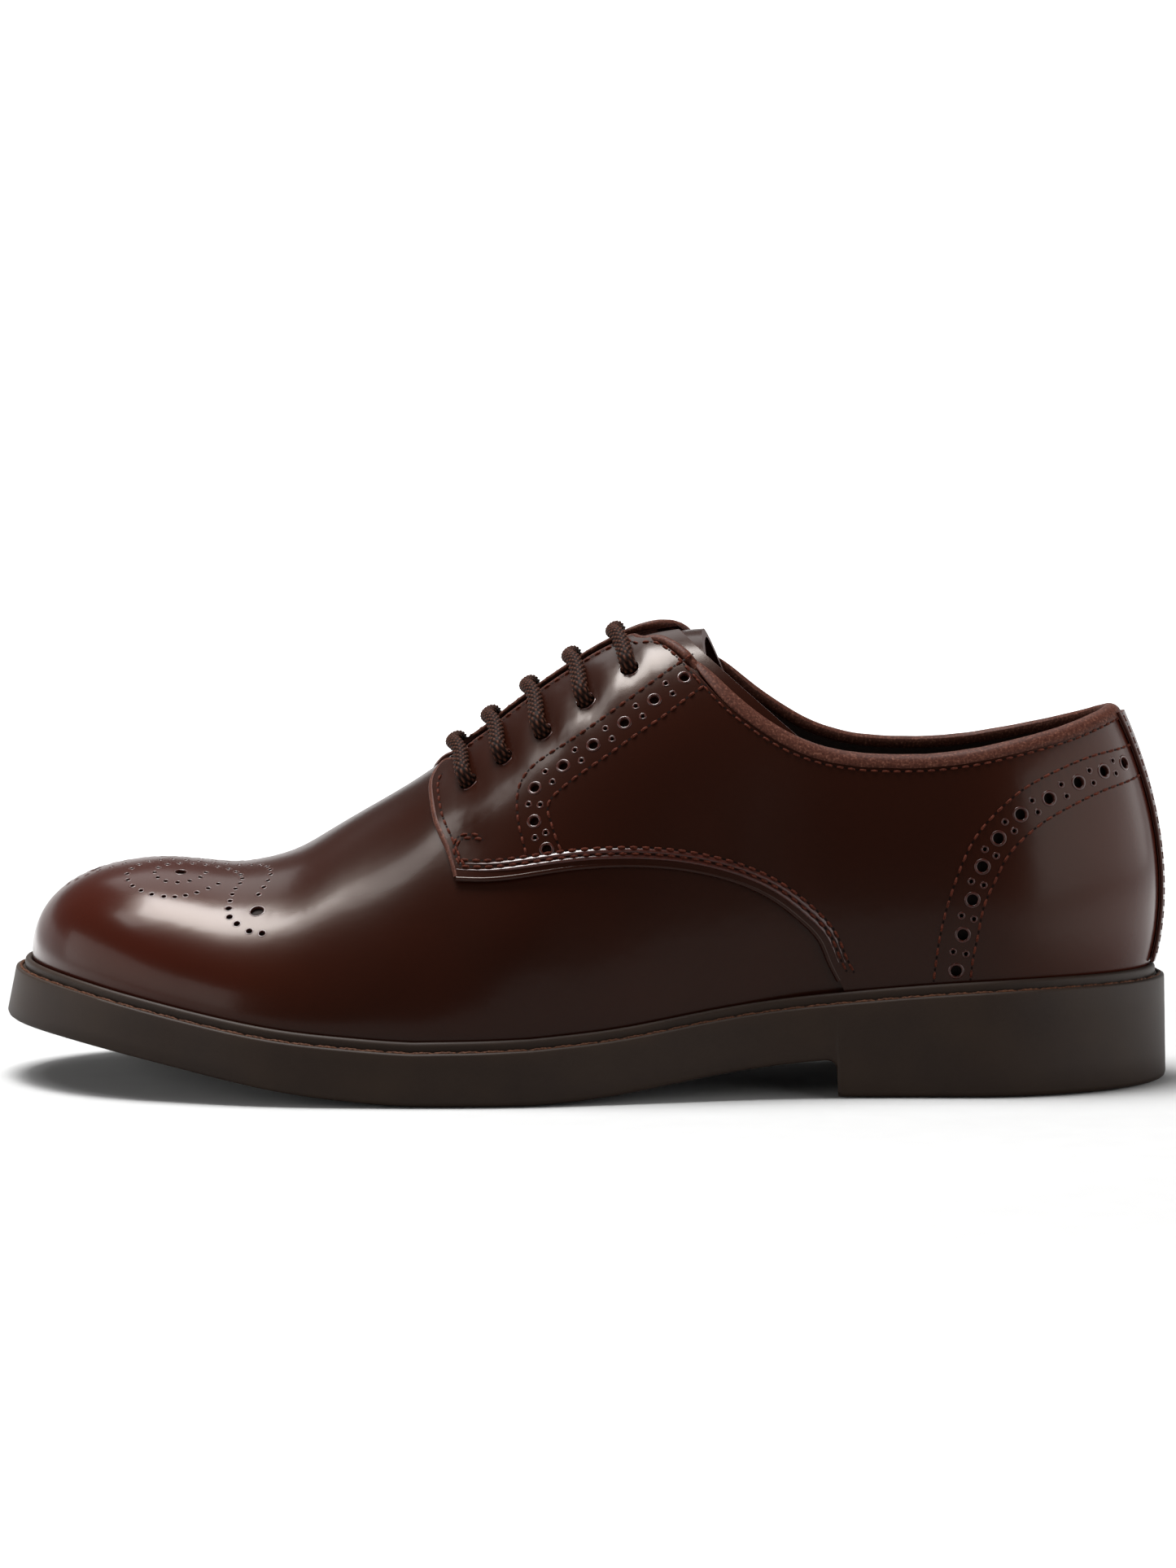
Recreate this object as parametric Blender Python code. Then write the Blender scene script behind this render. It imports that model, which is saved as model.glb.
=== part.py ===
"""A left derby brogue with a moulded rubber sole, standing on the floor.

Metres, +Z up. The toe points to -X, the heel to +X, the outer (lateral) side of the foot to -Y.
The origin is on the floor, under the middle of the sole's box.
"""

import bmesh
import bpy
import numpy as np
from mathutils import Vector
from mathutils.bvhtree import BVHTree

# Outsole, a men's EU 43
SOLE_LENGTH = 0.3015
BALL_WIDTH = 0.1055
TOE_SWING = 0.006          # the toe's tip lies this far to the big toe's side
TOE_CAP_LENGTH = 0.045     # how far back the round end of the toe reaches
HEEL_CAP_LENGTH = 0.052
SOLE_THICKNESS = 0.0134    # at the ball
TOE_SPRING = 0.0158
HEEL_LIFT = 0.0098         # the heel block, at its breast
FLAT_SHARE = 0.012         # less lift than this share counts as flat
HEEL_LENGTH = 0.0870
TOE_FLARE = 0.0022         # the sole's wall leans out this far at the toe
SIDE_FLARE = 0.0006
TREAD_EDGE = 0.0016        # rounding of the lower edge

# Welt: a rubber rand round the foot of the upper
WELT_LEDGE = 0.0024        # bare ledge outside the rand, where the sole is stitched
RAND_WIDTH = 0.0019
RAND_HEIGHT = 0.0026
RAND_LEAN = 0.0005

# Upper
UPPER_WALL = 0.0016        # vamp leather and lining
QUARTER_LEATHER = 0.0012
BACKSTAY_LEATHER = 0.0010
BACKSTAY_WIDTH = 0.0140
INSTEP_RISE = 0.0985       # from the deck to the top of the instep
RIDGE_SWING = 0.0040       # the instep's ridge lies this far to the medial side
BELLY = 0.0040             # how far the wall swells over its foot
COLLAR_DIP = 0.0865        # height of the collar at its lowest, over the floor
COLLAR_SKEW = 0.110        # the collar line lies further back across the foot, per metre of width
COLLAR_HALF_WIDTH = 0.027
GAP = 0.0003               # clearance between pieces

BINDING_HEIGHT = 0.0030
BINDING_PROUD = 0.0004
BINDING_START = 0.560      # along the sole's length from the toe
BINDING_TAPER = 0.012      # the wall makes room for it over this share of the length

INSOLE_THICKNESS = 0.0030

THROAT_GAP = 0.0130
THROAT_MIDDLE = 0.0010     # the gap's middle, to the medial side
EYELET_DIAMETER = 0.0050
LACE_WIDTH = 0.0042
LACE_THICKNESS = 0.0027
LACE_BOW = 0.0024          # a bar's middle lies this far towards the toe
LACE_DIP = 0.0008          # how deep its ends reach into the eyelets
EYELETS = 5

TONGUE_THICKNESS = 0.0022
INSTEP_SLOPE = 0.62        # rise over run of the instep under the laces
TONGUE_LEAN = 0.58         # run over rise of the tongue's top edge
TONGUE_TOP = 0.0290        # where the tongue's top edge crosses the middle, along X

RIBS = 33                  # stations from toe to heel on each side
STEPS = 9                  # points up each rib

# along: share of the sole's length from the toe
# lateral, medial: half widths as shares of half the ball width, before the ends are rounded
OUTLINE = (
    # along, lateral, medial
    (0.000, 0.800, 0.790),
    (0.066, 0.835, 0.825),
    (0.133, 0.880, 0.860),
    (0.200, 0.980, 0.922),
    (0.250, 1.024, 0.944),
    (0.300, 1.039, 0.940),
    (0.350, 1.043, 0.910),
    (0.400, 1.037, 0.850),
    (0.450, 1.010, 0.772),
    (0.500, 0.953, 0.696),
    (0.550, 0.887, 0.637),
    (0.600, 0.820, 0.601),
    (0.650, 0.764, 0.590),
    (0.700, 0.735, 0.603),
    (0.750, 0.728, 0.630),
    (0.800, 0.728, 0.664),
    (0.880, 0.728, 0.694),
    (1.000, 0.726, 0.700),
)

# toe: underside lift as a share of the toe spring
# heel: underside lift as a share of the heel lift, as if the heel block were taken off
# thick: share of the sole's thickness
SIDE = (
    # along, toe, heel, thick
    (0.000, 1.000, 0.00, 0.98),
    (0.033, 0.950, 0.00, 0.97),
    (0.066, 0.875, 0.00, 0.95),
    (0.100, 0.765, 0.00, 0.93),
    (0.133, 0.645, 0.00, 0.92),
    (0.165, 0.520, 0.00, 0.92),
    (0.200, 0.385, 0.00, 0.93),
    (0.250, 0.210, 0.00, 0.96),
    (0.300, 0.092, 0.00, 0.99),
    (0.350, 0.018, 0.00, 1.00),
    (0.380, 0.000, 0.00, 1.01),
    (0.410, 0.000, 0.00, 1.02),
    (0.440, 0.000, 0.00, 1.04),
    (0.475, 0.000, 0.05, 1.06),
    (0.520, 0.000, 0.19, 1.05),
    (0.600, 0.000, 0.60, 1.04),
    (0.660, 0.000, 0.86, 1.04),
    (0.715, 0.000, 1.00, 1.06),
    (0.800, 0.000, 1.09, 1.15),
    (0.900, 0.000, 1.15, 1.20),
    (1.000, 0.000, 1.17, 1.17),
)

# rise: the ridge over the deck, as a share of the instep rise
RIDGE = (
    # along, rise
    (0.120, 0.348),
    (0.142, 0.355),
    (0.175, 0.366),
    (0.205, 0.379),
    (0.231, 0.407),
    (0.252, 0.437),
    (0.274, 0.482),
    (0.302, 0.541),
    (0.331, 0.599),
    (0.358, 0.653),
    (0.387, 0.713),
    (0.415, 0.773),
    (0.442, 0.836),
    (0.470, 0.894),
    (0.500, 0.949),
    (0.530, 0.990),
    (0.560, 1.008),
    (0.600, 1.004),
    (0.700, 0.960),
    (0.800, 0.918),
    (0.930, 0.866),
)

# A rib of the last is a Bezier curve from the foot of the wall up to the ridge.
# belly: how far the wall leans out, as a share of the belly
# rise: height of that handle, as a share of the rib's height
# shoulder, drop: the upper handle, as shares of the rib's reach and height
# swing: how far the ridge lies to the medial side, as a share of the ridge swing
LAST = (
    # along, belly, rise, shoulder, drop, swing
    (0.020, 0.48, 0.54, 0.77, 0.02, 0.00),
    (0.080, 0.54, 0.54, 0.71, 0.01, 0.00),
    (0.142, 0.60, 0.54, 0.60, 0.00, 0.02),
    (0.250, 0.75, 0.50, 0.54, 0.00, 0.25),
    (0.330, 0.70, 0.46, 0.52, 0.00, 0.60),
    (0.450, 0.60, 0.45, 0.66, 0.00, 1.00),
    (0.550, 0.70, 0.44, 0.82, 0.00, 1.00),
    (0.650, 0.95, 0.43, 0.84, 0.00, 0.90),
    (0.750, 1.00, 0.42, 0.80, 0.01, 0.50),
    (0.850, 1.05, 0.41, 0.82, 0.06, 0.10),
    (0.930, 1.40, 0.34, 0.90, 0.18, 0.00),
    (0.976, 2.05, 0.28, 1.04, 0.33, 0.00),
)

SPINE_FRONT, SPINE_REAR = 0.142, 0.926    # where the ribs of the toe and of the heel meet, along
SPINE_SOFTNESS = 0.012

# The collar, seen from the side. rise: over its lowest point, as a share of the instep rise
COLLAR = (
    # along, rise
    (0.520, 0.3800),
    (0.536, 0.3260),
    (0.552, 0.3090),
    (0.567, 0.2980),
    (0.584, 0.2620),
    (0.599, 0.2240),
    (0.616, 0.1750),
    (0.642, 0.1110),
    (0.668, 0.0600),
    (0.690, 0.0300),
    (0.725, 0.0060),
    (0.760, 0.0000),
    (0.790, 0.0020),
    (0.823, 0.0140),
    (0.872, 0.0450),
    (0.912, 0.0790),
    (0.940, 0.1120),
    (1.020, 0.2100),
)

# Front and lower edge of a quarter, from the throat to the welt.
# up: height over the floor, as a share of the collar's lowest height
QUARTER_EDGE = (
    # along, up
    (0.389, 1.60),
    (0.389, 0.995),
    (0.378, 0.966),
    (0.370, 0.936),
    (0.366, 0.902),
    (0.367, 0.867),
    (0.371, 0.810),
    (0.381, 0.741),
    (0.390, 0.657),
    (0.436, 0.681),
    (0.479, 0.706),
    (0.522, 0.719),
    (0.565, 0.712),
    (0.609, 0.681),
    (0.652, 0.602),
    (0.674, 0.532),
    (0.689, 0.466),
    (0.698, 0.398),
    (0.710, 0.317),
    (0.722, 0.100),
)

# The middle of each eyelet, from the toe end up. up: over the floor, as a share of the collar's height
EYELET_ROWS = (
    # along, up
    (0.4005, 0.911),
    (0.4307, 0.983),
    (0.4638, 1.058),
    (0.4997, 1.149),
    (0.5368, 1.244),
)


def natural_spline(rows, column):
    """A smooth curve through one column of a table, flat outside it."""
    x = np.array([row[0] for row in rows], float)
    y = np.array([row[column] for row in rows], float)
    h = np.diff(x)
    n = len(x)
    matrix = np.eye(n)
    side = np.zeros(n)
    for i in range(1, n - 1):
        matrix[i, i - 1:i + 2] = h[i - 1], 2 * (h[i - 1] + h[i]), h[i]
        side[i] = 6 * ((y[i + 1] - y[i]) / h[i] - (y[i] - y[i - 1]) / h[i - 1])
    bend = np.linalg.solve(matrix, side)

    def value(at):
        at = np.clip(np.asarray(at, float), x[0], x[-1])
        i = np.clip(np.searchsorted(x, at) - 1, 0, n - 2)
        a, b = x[i + 1] - at, at - x[i]
        cubic = (bend[i] * a ** 3 + bend[i + 1] * b ** 3) / (6 * h[i])
        return (cubic + (y[i] / h[i] - bend[i] * h[i] / 6) * a
                + (y[i + 1] / h[i] - bend[i + 1] * h[i] / 6) * b)

    return value


lateral_width = natural_spline(OUTLINE, 1)
medial_width = natural_spline(OUTLINE, 2)
toe_lift = natural_spline(SIDE, 1)
heel_lift = natural_spline(SIDE, 2)
thickness = natural_spline(SIDE, 3)
ridge_rise = natural_spline(RIDGE, 1)
belly_share, handle_rise, shoulder_out, shoulder_drop, ridge_swing = (
    natural_spline(LAST, c) for c in (1, 2, 3, 4, 5))
collar_rise = natural_spline(COLLAR, 1)


def along_of(x):
    return np.asarray(x, float) / SOLE_LENGTH + 0.5


def x_of(along):
    return (np.asarray(along, float) - 0.5) * SOLE_LENGTH


def underside(x):
    """The sole's lower line with no heel block, flat where it stands under the ball."""
    a = along_of(x)
    toe = np.clip(toe_lift(a) - FLAT_SHARE, 0, None) * TOE_SPRING
    heel = np.clip(heel_lift(a) - FLAT_SHARE, 0, None) * HEEL_LIFT
    return toe + heel


def deck(x):
    """The sole's upper face, where the upper stands."""
    return underside(x) + thickness(along_of(x)) * SOLE_THICKNESS


def round_end(distance, length, power):
    near = np.clip(1 - distance / length, 0, 1)
    return (1 - near ** power) ** (1 / power)


def centre_line(x):
    """The line from the heel to the toe's tip: straight, then swung to the big toe's side."""
    return TOE_SWING * np.clip(1 - 2 * along_of(x), 0, None) ** 2


def outline_y(x, side):
    """Y of the sole's lower outline. side is -1 for lateral and 1 for medial."""
    a = along_of(x)
    half = (lateral_width(a) if side < 0 else medial_width(a)) * BALL_WIDTH / 2
    ends = (round_end(a * SOLE_LENGTH, TOE_CAP_LENGTH, 2.0)
            * round_end((1 - a) * SOLE_LENGTH, HEEL_CAP_LENGTH, 1.9))
    return centre_line(x) + side * half * ends


SAMPLES = 400
SPREAD = SOLE_LENGTH / 2 * -np.cos(np.pi * np.arange(SAMPLES + 1) / SAMPLES)
MIDDLE_Y = (outline_y(SPREAD, -1).min() + outline_y(SPREAD, 1).max()) / 2


def loop_xy():
    """The sole's lower outline as a dense closed loop: lateral from toe to heel, then medial back."""
    lateral = np.column_stack([SPREAD, outline_y(SPREAD, -1)])
    medial = np.column_stack([SPREAD, outline_y(SPREAD, 1)])[::-1]
    loop = np.vstack([lateral, medial[1:-1]])
    loop[:, 1] -= MIDDLE_Y
    return loop


def inset_loop(inset):
    """The outline moved in by inset, a length or one length for each of its points."""
    loop = loop_xy()
    ahead = np.roll(loop, -1, axis=0) - np.roll(loop, 1, axis=0)
    ahead /= np.linalg.norm(ahead, axis=1)[:, None]
    inward = np.column_stack([-ahead[:, 1], ahead[:, 0]])
    return loop + inward * np.broadcast_to(inset, len(loop))[:, None]


def flare(x):
    toe = np.clip((0.20 - along_of(x)) / 0.20, 0, 1)
    return SIDE_FLARE + (TOE_FLARE - SIDE_FLARE) * toe ** 2


def quarter_step(x):
    """The foot of the wall stands further in where the quarter lies on it."""
    start, end = 0.62, 0.72
    t = np.clip((along_of(x) - start) / (end - start), 0, 1)
    return (QUARTER_LEATHER + GAP) * t * t * (3 - 2 * t)


FOOT_INSET = WELT_LEDGE + RAND_WIDTH + GAP


def foot_inset():
    x = loop_xy()[:, 0]
    return flare(x) + FOOT_INSET + quarter_step(x)


def half_loops(loop):
    """(lateral, medial) halves of a dense loop, both from toe to heel."""
    return loop[:SAMPLES + 1], np.vstack([loop[:1], loop[SAMPLES:][::-1]])


def station_x():
    """X of the ribs' feet, evenly spaced round the outline."""
    lateral, medial = half_loops(inset_loop(foot_inset()))
    steps = np.linalg.norm(np.diff((lateral + medial * (1, -1)) / 2, axis=0), axis=1)
    length = np.concatenate([[0], np.cumsum(steps)])
    even = np.linspace(0, length[-1], RIBS + 1)
    return np.interp(even, length, lateral[:, 0])


def ring_at(x, loop):
    """Points of a dense loop at the stations: lateral from toe to heel, then medial back to the toe."""
    lateral, medial = half_loops(loop)
    ends = lateral[0, 0], lateral[-1, 0]
    at = ends[0] + (x - x[0]) / (x[-1] - x[0]) * (ends[1] - ends[0])
    down = np.column_stack([at, np.interp(at, lateral[:, 0], lateral[:, 1])])
    back = np.column_stack([at, np.interp(at, medial[:, 0], medial[:, 1])])[::-1]
    return np.vstack([down, back[1:-1]])


def soft_limit(x):
    """Pulls the ribs of the toe and of the heel together on the spine."""
    front, rear = x_of(SPINE_FRONT), x_of(SPINE_REAR)
    x = front + (x - front + np.hypot(x - front, SPINE_SOFTNESS)) / 2
    return rear - (rear - x + np.hypot(rear - x, SPINE_SOFTNESS)) / 2


def ridge_height(x):
    return deck(x) + ridge_rise(along_of(x)) * INSTEP_RISE


def ridge_y(x):
    return centre_line(x) + ridge_swing(along_of(x)) * RIDGE_SWING - MIDDLE_Y


def ribs():
    """The last as an array of ribs: [rib round the foot, step up the rib, xyz]."""
    x = station_x()
    foot = ring_at(x, inset_loop(foot_inset()))
    ahead = np.roll(foot, -1, axis=0) - np.roll(foot, 1, axis=0)
    outward = np.column_stack([ahead[:, 1], -ahead[:, 0]])
    outward /= np.linalg.norm(outward, axis=1)[:, None]
    a = along_of(foot[:, 0])
    low = deck(foot[:, 0]) + GAP
    spine_x = soft_limit(foot[:, 0])
    spine = np.column_stack([spine_x, ridge_y(spine_x)])
    top = ridge_height(spine_x)
    height = top - low
    p0 = np.column_stack([foot, low])
    p1 = np.column_stack([foot + outward * (belly_share(a) * BELLY)[:, None], low + handle_rise(a) * height])
    p2 = np.column_stack([spine + (foot - spine) * shoulder_out(a)[:, None], top - shoulder_drop(a) * height])
    p3 = np.column_stack([spine, top])
    t = np.linspace(0, 1, STEPS + 1)[None, :, None]
    p0, p1, p2, p3 = (p[:, None, :] for p in (p0, p1, p2, p3))
    return (1 - t) ** 3 * p0 + 3 * (1 - t) ** 2 * t * p1 + 3 * (1 - t) * t ** 2 * p2 + t ** 3 * p3


def mirror_rib(k):
    """The rib on the other side that meets rib k on the ridge."""
    return (2 * RIBS - k) % (2 * RIBS)


def rib_normals(grid):
    """Outward normals of the ribs. On the ridge they stand square to the ridge's own line."""
    around = np.roll(grid, -1, axis=0) - np.roll(grid, 1, axis=0)
    up = np.gradient(grid, axis=1)
    normal = np.cross(around, up)
    x = grid[:, -1, 0]
    near = 0.001
    slope = (ridge_height(x + near) - ridge_height(x - near)) / (2 * near)
    normal[:, -1] = np.column_stack([-slope, np.zeros(len(x)), np.ones(len(x))])
    normal /= np.linalg.norm(normal, axis=2)[:, :, None]
    return normal


def grown(offset):
    """The last's ribs moved out by offset, still standing on the deck."""
    grid = ribs()
    moved = grid + rib_normals(grid) * offset
    moved[:, 0, 2] = grid[:, 0, 2]
    return moved


def material(name, colour, roughness, metallic=0.0):
    made = bpy.data.materials.new(name)
    made.use_nodes = True
    shader = made.node_tree.nodes["Principled BSDF"]
    shader.inputs["Base Color"].default_value = (*colour, 1)
    shader.inputs["Roughness"].default_value = roughness
    shader.inputs["Metallic"].default_value = metallic
    return made


def object_from(name, points, faces, finish=None):
    mesh = bpy.data.meshes.new(name)
    work = bmesh.new()
    made = [work.verts.new(p) for p in points]
    for face in faces:
        corners = [made[i] for i in dict.fromkeys(face)]
        if len(corners) > 2:
            work.faces.new(corners)
    bmesh.ops.remove_doubles(work, verts=work.verts, dist=1e-6)
    bmesh.ops.dissolve_degenerate(work, dist=1e-7, edges=work.edges)
    bmesh.ops.recalc_face_normals(work, faces=work.faces)
    if work.calc_volume(signed=True) < 0:
        bmesh.ops.reverse_faces(work, faces=work.faces)
    work.to_mesh(mesh)
    work.free()
    obj = bpy.data.objects.new(name, mesh)
    bpy.context.scene.collection.objects.link(obj)
    if finish:
        mesh.materials.append(finish)
        mesh.shade_smooth()
        mesh.set_sharp_from_angle(angle=np.radians(35))
    return obj


def hide(cutter):
    cutter.hide_render = True
    cutter.display_type = "WIRE"
    return cutter


def boolean(obj, other, operation):
    step = obj.modifiers.new(f"{operation.lower()} {other.name}", "BOOLEAN")
    step.operation = operation
    step.object = hide(other)


def form(name, offset, sink=0.0, finish=None):
    """The last as a closed solid, grown by offset. sink lowers its bottom, for a cutter that opens it."""
    grid = grown(offset)
    count, high = grid.shape[:2]
    points = list(grid.reshape(-1, 3))
    faces = []
    for k in range(count):
        after = (k + 1) % count
        for j in range(high - 1):
            low, far = k * high + j, after * high + j
            faces += [(low, far, far + 1), (low, far + 1, low + 1)]
    floor = len(points)
    points += [p - (0, 0, sink) for p in grid[:, 0]]
    if sink:
        for k in range(count):
            after = (k + 1) % count
            faces.append((floor + k, floor + after, after * high, k * high))
    for k in range(RIBS):
        a, b, c, d = k, k + 1, mirror_rib(k + 1), mirror_rib(k)
        low = [floor + i if sink else i * high for i in (a, b, c, d)]
        faces.append(tuple(low))
    return object_from(name, points, faces, finish)


def prism(name, outline, axis, low, high):
    """A cutter: a closed outline of (a, b) points, extruded along an axis from low to high."""
    places = {"X": (2, 0, 1), "Y": (0, 2, 1), "Z": (0, 1, 2)}[axis]
    points = [np.array([(a, b, c)[i] for i in places]) for c in (low, high) for a, b in outline]
    n = len(outline)
    faces = [tuple(range(n)), tuple(range(n, 2 * n))]
    faces += [(i, (i + 1) % n, n + (i + 1) % n, n + i) for i in range(n)]
    return object_from(name, points, faces)


def along_collar(x, y=-COLLAR_HALF_WIDTH):
    return along_of(x - COLLAR_SKEW * (y + COLLAR_HALF_WIDTH))


def collar_height(x, y=-COLLAR_HALF_WIDTH):
    return COLLAR_DIP + collar_rise(along_collar(x, y)) * INSTEP_RISE


def wall_edge(x, y=-COLLAR_HALF_WIDTH):
    """Height of the wall's own edge, where the binding takes over."""
    near = 0.002
    slope = (collar_height(x + near, y) - collar_height(x - near, y)) / (2 * near)
    bound = np.clip((along_collar(x, y) - BINDING_START + BINDING_TAPER) / BINDING_TAPER, 0, 1)
    return collar_height(x, y) - (BINDING_HEIGHT + GAP) * np.hypot(1, slope) * bound


FAR = 0.09
COLLAR_POINTS = 44


def collar_cutter(name):
    """All that lies over the binding's seat."""
    x = np.linspace(x_of(COLLAR[0][0]), x_of(COLLAR[-1][0]), COLLAR_POINTS)
    line = list(zip(x, wall_edge(x)))
    line[0] = (line[0][0], INSTEP_RISE + FAR)
    cutter = prism(name, line + [(x[-1], INSTEP_RISE + FAR)], "Y", -FAR, FAR)
    for corner in cutter.data.vertices:
        corner.co.x += COLLAR_SKEW * (corner.co.y + COLLAR_HALF_WIDTH)
    return cutter


def throat_cutter(name, front):
    """The gap between the facings, with a round end at its front."""
    radius = THROAT_GAP / 2
    back = x_of(0.63)
    turn = np.radians(np.linspace(90, 270, 9))
    middle = THROAT_MIDDLE - MIDDLE_Y
    plan = [(front + radius + radius * np.cos(t), middle + radius * np.sin(t)) for t in turn]
    plan += [(back, middle - radius), (back, middle + radius)]
    return prism(name, plan, "Z", COLLAR_DIP / 2, INSTEP_RISE + FAR)


def surface_tree(offset):
    made = form("probe", offset)
    tree = BVHTree.FromObject(made, bpy.context.evaluated_depsgraph_get())
    bpy.data.objects.remove(made)
    return tree


def on_side(tree, x, z, side):
    """Where the surface is met from the side, and its normal."""
    point, normal, _, _ = tree.ray_cast(Vector((x, side * FAR, z)), Vector((0, -side, 0)))
    return point, normal


def eyelet_places(tree):
    """(point, normal) of each eyelet's middle: pairs of lateral and medial."""
    places = []
    for along, up in EYELET_ROWS[:EYELETS]:
        x, z = float(x_of(along)), up * COLLAR_DIP
        near = on_side(tree, x, z, -1)
        reach = 2 * THROAT_MIDDLE - 2 * MIDDLE_Y - near[0].y
        point, normal, _, _ = tree.ray_cast(Vector((x, reach, FAR * 2)), Vector((0, 0, -1)))
        places.append((near, (point, normal)))
    return places


def eyelet_cutter(name, places):
    """All the eyelets as one cutter, a short rod through each."""
    work = bmesh.new()
    for pair in places:
        for point, normal in pair:
            turn = normal.to_track_quat("Z", "Y").to_matrix().to_4x4()
            turn.translation = point
            bmesh.ops.create_cone(work, cap_ends=True, segments=10, radius1=EYELET_DIAMETER / 2,
                                  radius2=EYELET_DIAMETER / 2, depth=0.012, matrix=turn)
    mesh = bpy.data.meshes.new(name)
    work.to_mesh(mesh)
    work.free()
    obj = bpy.data.objects.new(name, mesh)
    bpy.context.scene.collection.objects.link(obj)
    return obj


def shell(name, inner, outer, finish):
    """A thin piece between two grown forms of the last, open underneath."""
    piece = form(name, outer, finish=finish)
    boolean(piece, form(f"{name} core", inner, sink=0.004), "DIFFERENCE")
    return piece


def make_upper(finish, places):
    upper = form("upper", 0.0, finish=finish)
    boolean(upper, form("upper hollow", -UPPER_WALL, sink=0.004), "DIFFERENCE")
    boolean(upper, collar_cutter("upper collar"), "DIFFERENCE")
    boolean(upper, throat_cutter("upper throat", x_of(0.383)), "DIFFERENCE")
    boolean(upper, eyelet_cutter("upper eyelets", places), "DIFFERENCE")
    return upper


def make_quarter(side, finish, places):
    """One quarter: it laps over the vamp in front and meets the other at the back seam."""
    name = "quarter_lateral" if side < 0 else "quarter_medial"
    quarter = shell(name, GAP, GAP + QUARTER_LEATHER, finish)
    edge = [(float(x_of(a)), up * COLLAR_DIP) for a, up in QUARTER_EDGE]
    region = edge + [(FAR * 2, edge[-1][1]), (FAR * 2, edge[0][1])]
    back_y = float(centre_line(x_of(1.0)) - MIDDLE_Y)
    keep = prism(f"{name} outline", region, "Y", *sorted((side * FAR, back_y + side * GAP / 2)))
    boolean(quarter, keep, "INTERSECT")
    boolean(quarter, collar_cutter(f"{name} collar"), "DIFFERENCE")
    boolean(quarter, throat_cutter(f"{name} throat", x_of(0.33)), "DIFFERENCE")
    boolean(quarter, eyelet_cutter(f"{name} eyelets", places), "DIFFERENCE")
    return quarter


def make_backstay(finish):
    """The strip over the back seam, a little wider at the collar."""
    inner = 2 * GAP + QUARTER_LEATHER
    strip = shell("backstay", inner, inner + BACKSTAY_LEATHER, finish)
    half, foot_half = BACKSTAY_WIDTH / 2, BACKSTAY_WIDTH / 2 * 0.88
    low = float(deck(x_of(0.98))) + RAND_HEIGHT + 2 * GAP
    high = float(collar_height(x_of(1.0)))
    middle = -MIDDLE_Y
    face = [(middle - foot_half, low), (middle + foot_half, low), (middle + half, high), (middle - half, high)]
    boolean(strip, prism("backstay outline", face, "X", float(x_of(0.93)), FAR * 2), "INTERSECT")
    boolean(strip, collar_cutter("backstay collar"), "DIFFERENCE")
    return strip


def make_tongue(finish):
    outer = -(UPPER_WALL + 3 * GAP)
    tongue = shell("tongue", outer - TONGUE_THICKNESS, outer, finish)
    centre = -MIDDLE_Y
    front, top = x_of(0.352), TONGUE_TOP
    top_z = float(deck(top) + ridge_rise(along_of(top)) * INSTEP_RISE)
    low_z = COLLAR_DIP * 0.6
    side_view = [(front, low_z), (top + (top_z - low_z) * TONGUE_LEAN, low_z),
                 (top - FAR * TONGUE_LEAN, top_z + FAR), (front, top_z + FAR)]
    boolean(tongue, prism("tongue outline", side_view, "Y", -FAR, FAR), "INTERSECT")
    plan = [(front - 0.001, centre - 0.018), (front - 0.001, centre + 0.018),
            (top + 0.02, centre + 0.026), (top + 0.02, centre - 0.026)]
    boolean(tongue, prism("tongue width", plan, "Z", 0.0, FAR * 2), "INTERSECT")
    return tongue


def ring_solid(name, rings, finish, closed=True):
    """A solid swept through rings of points. closed joins the last ring to the first."""
    count, size = len(rings), len(rings[0])
    points = [np.array(p) for ring in rings for p in ring]
    faces = []
    for k in range(count if closed else count - 1):
        after = (k + 1) % count
        for j in range(size):
            nxt = (j + 1) % size
            faces.append((k * size + j, after * size + j, after * size + nxt, k * size + nxt))
    if not closed:
        faces += [tuple(range(size)), tuple(range((count - 1) * size, count * size))]
    return object_from(name, points, faces, finish)


def plate(name, levels, finish):
    """A closed plate from loops of points stacked from bottom to top, each over the same stations."""
    size = len(levels[0])
    points = [np.array(p) for level in levels for p in level]
    faces = []
    for n in range(len(levels) - 1):
        for k in range(size):
            after = (k + 1) % size
            faces.append((n * size + k, n * size + after, (n + 1) * size + after, (n + 1) * size + k))
    top = (len(levels) - 1) * size
    for base in (0, top):
        for k in range(size // 2):
            other = [(size - k) % size, (size - k - 1) % size]
            faces.append((base + k, base + k + 1, base + other[1], base + other[0]))
    return object_from(name, points, faces, finish)


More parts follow.
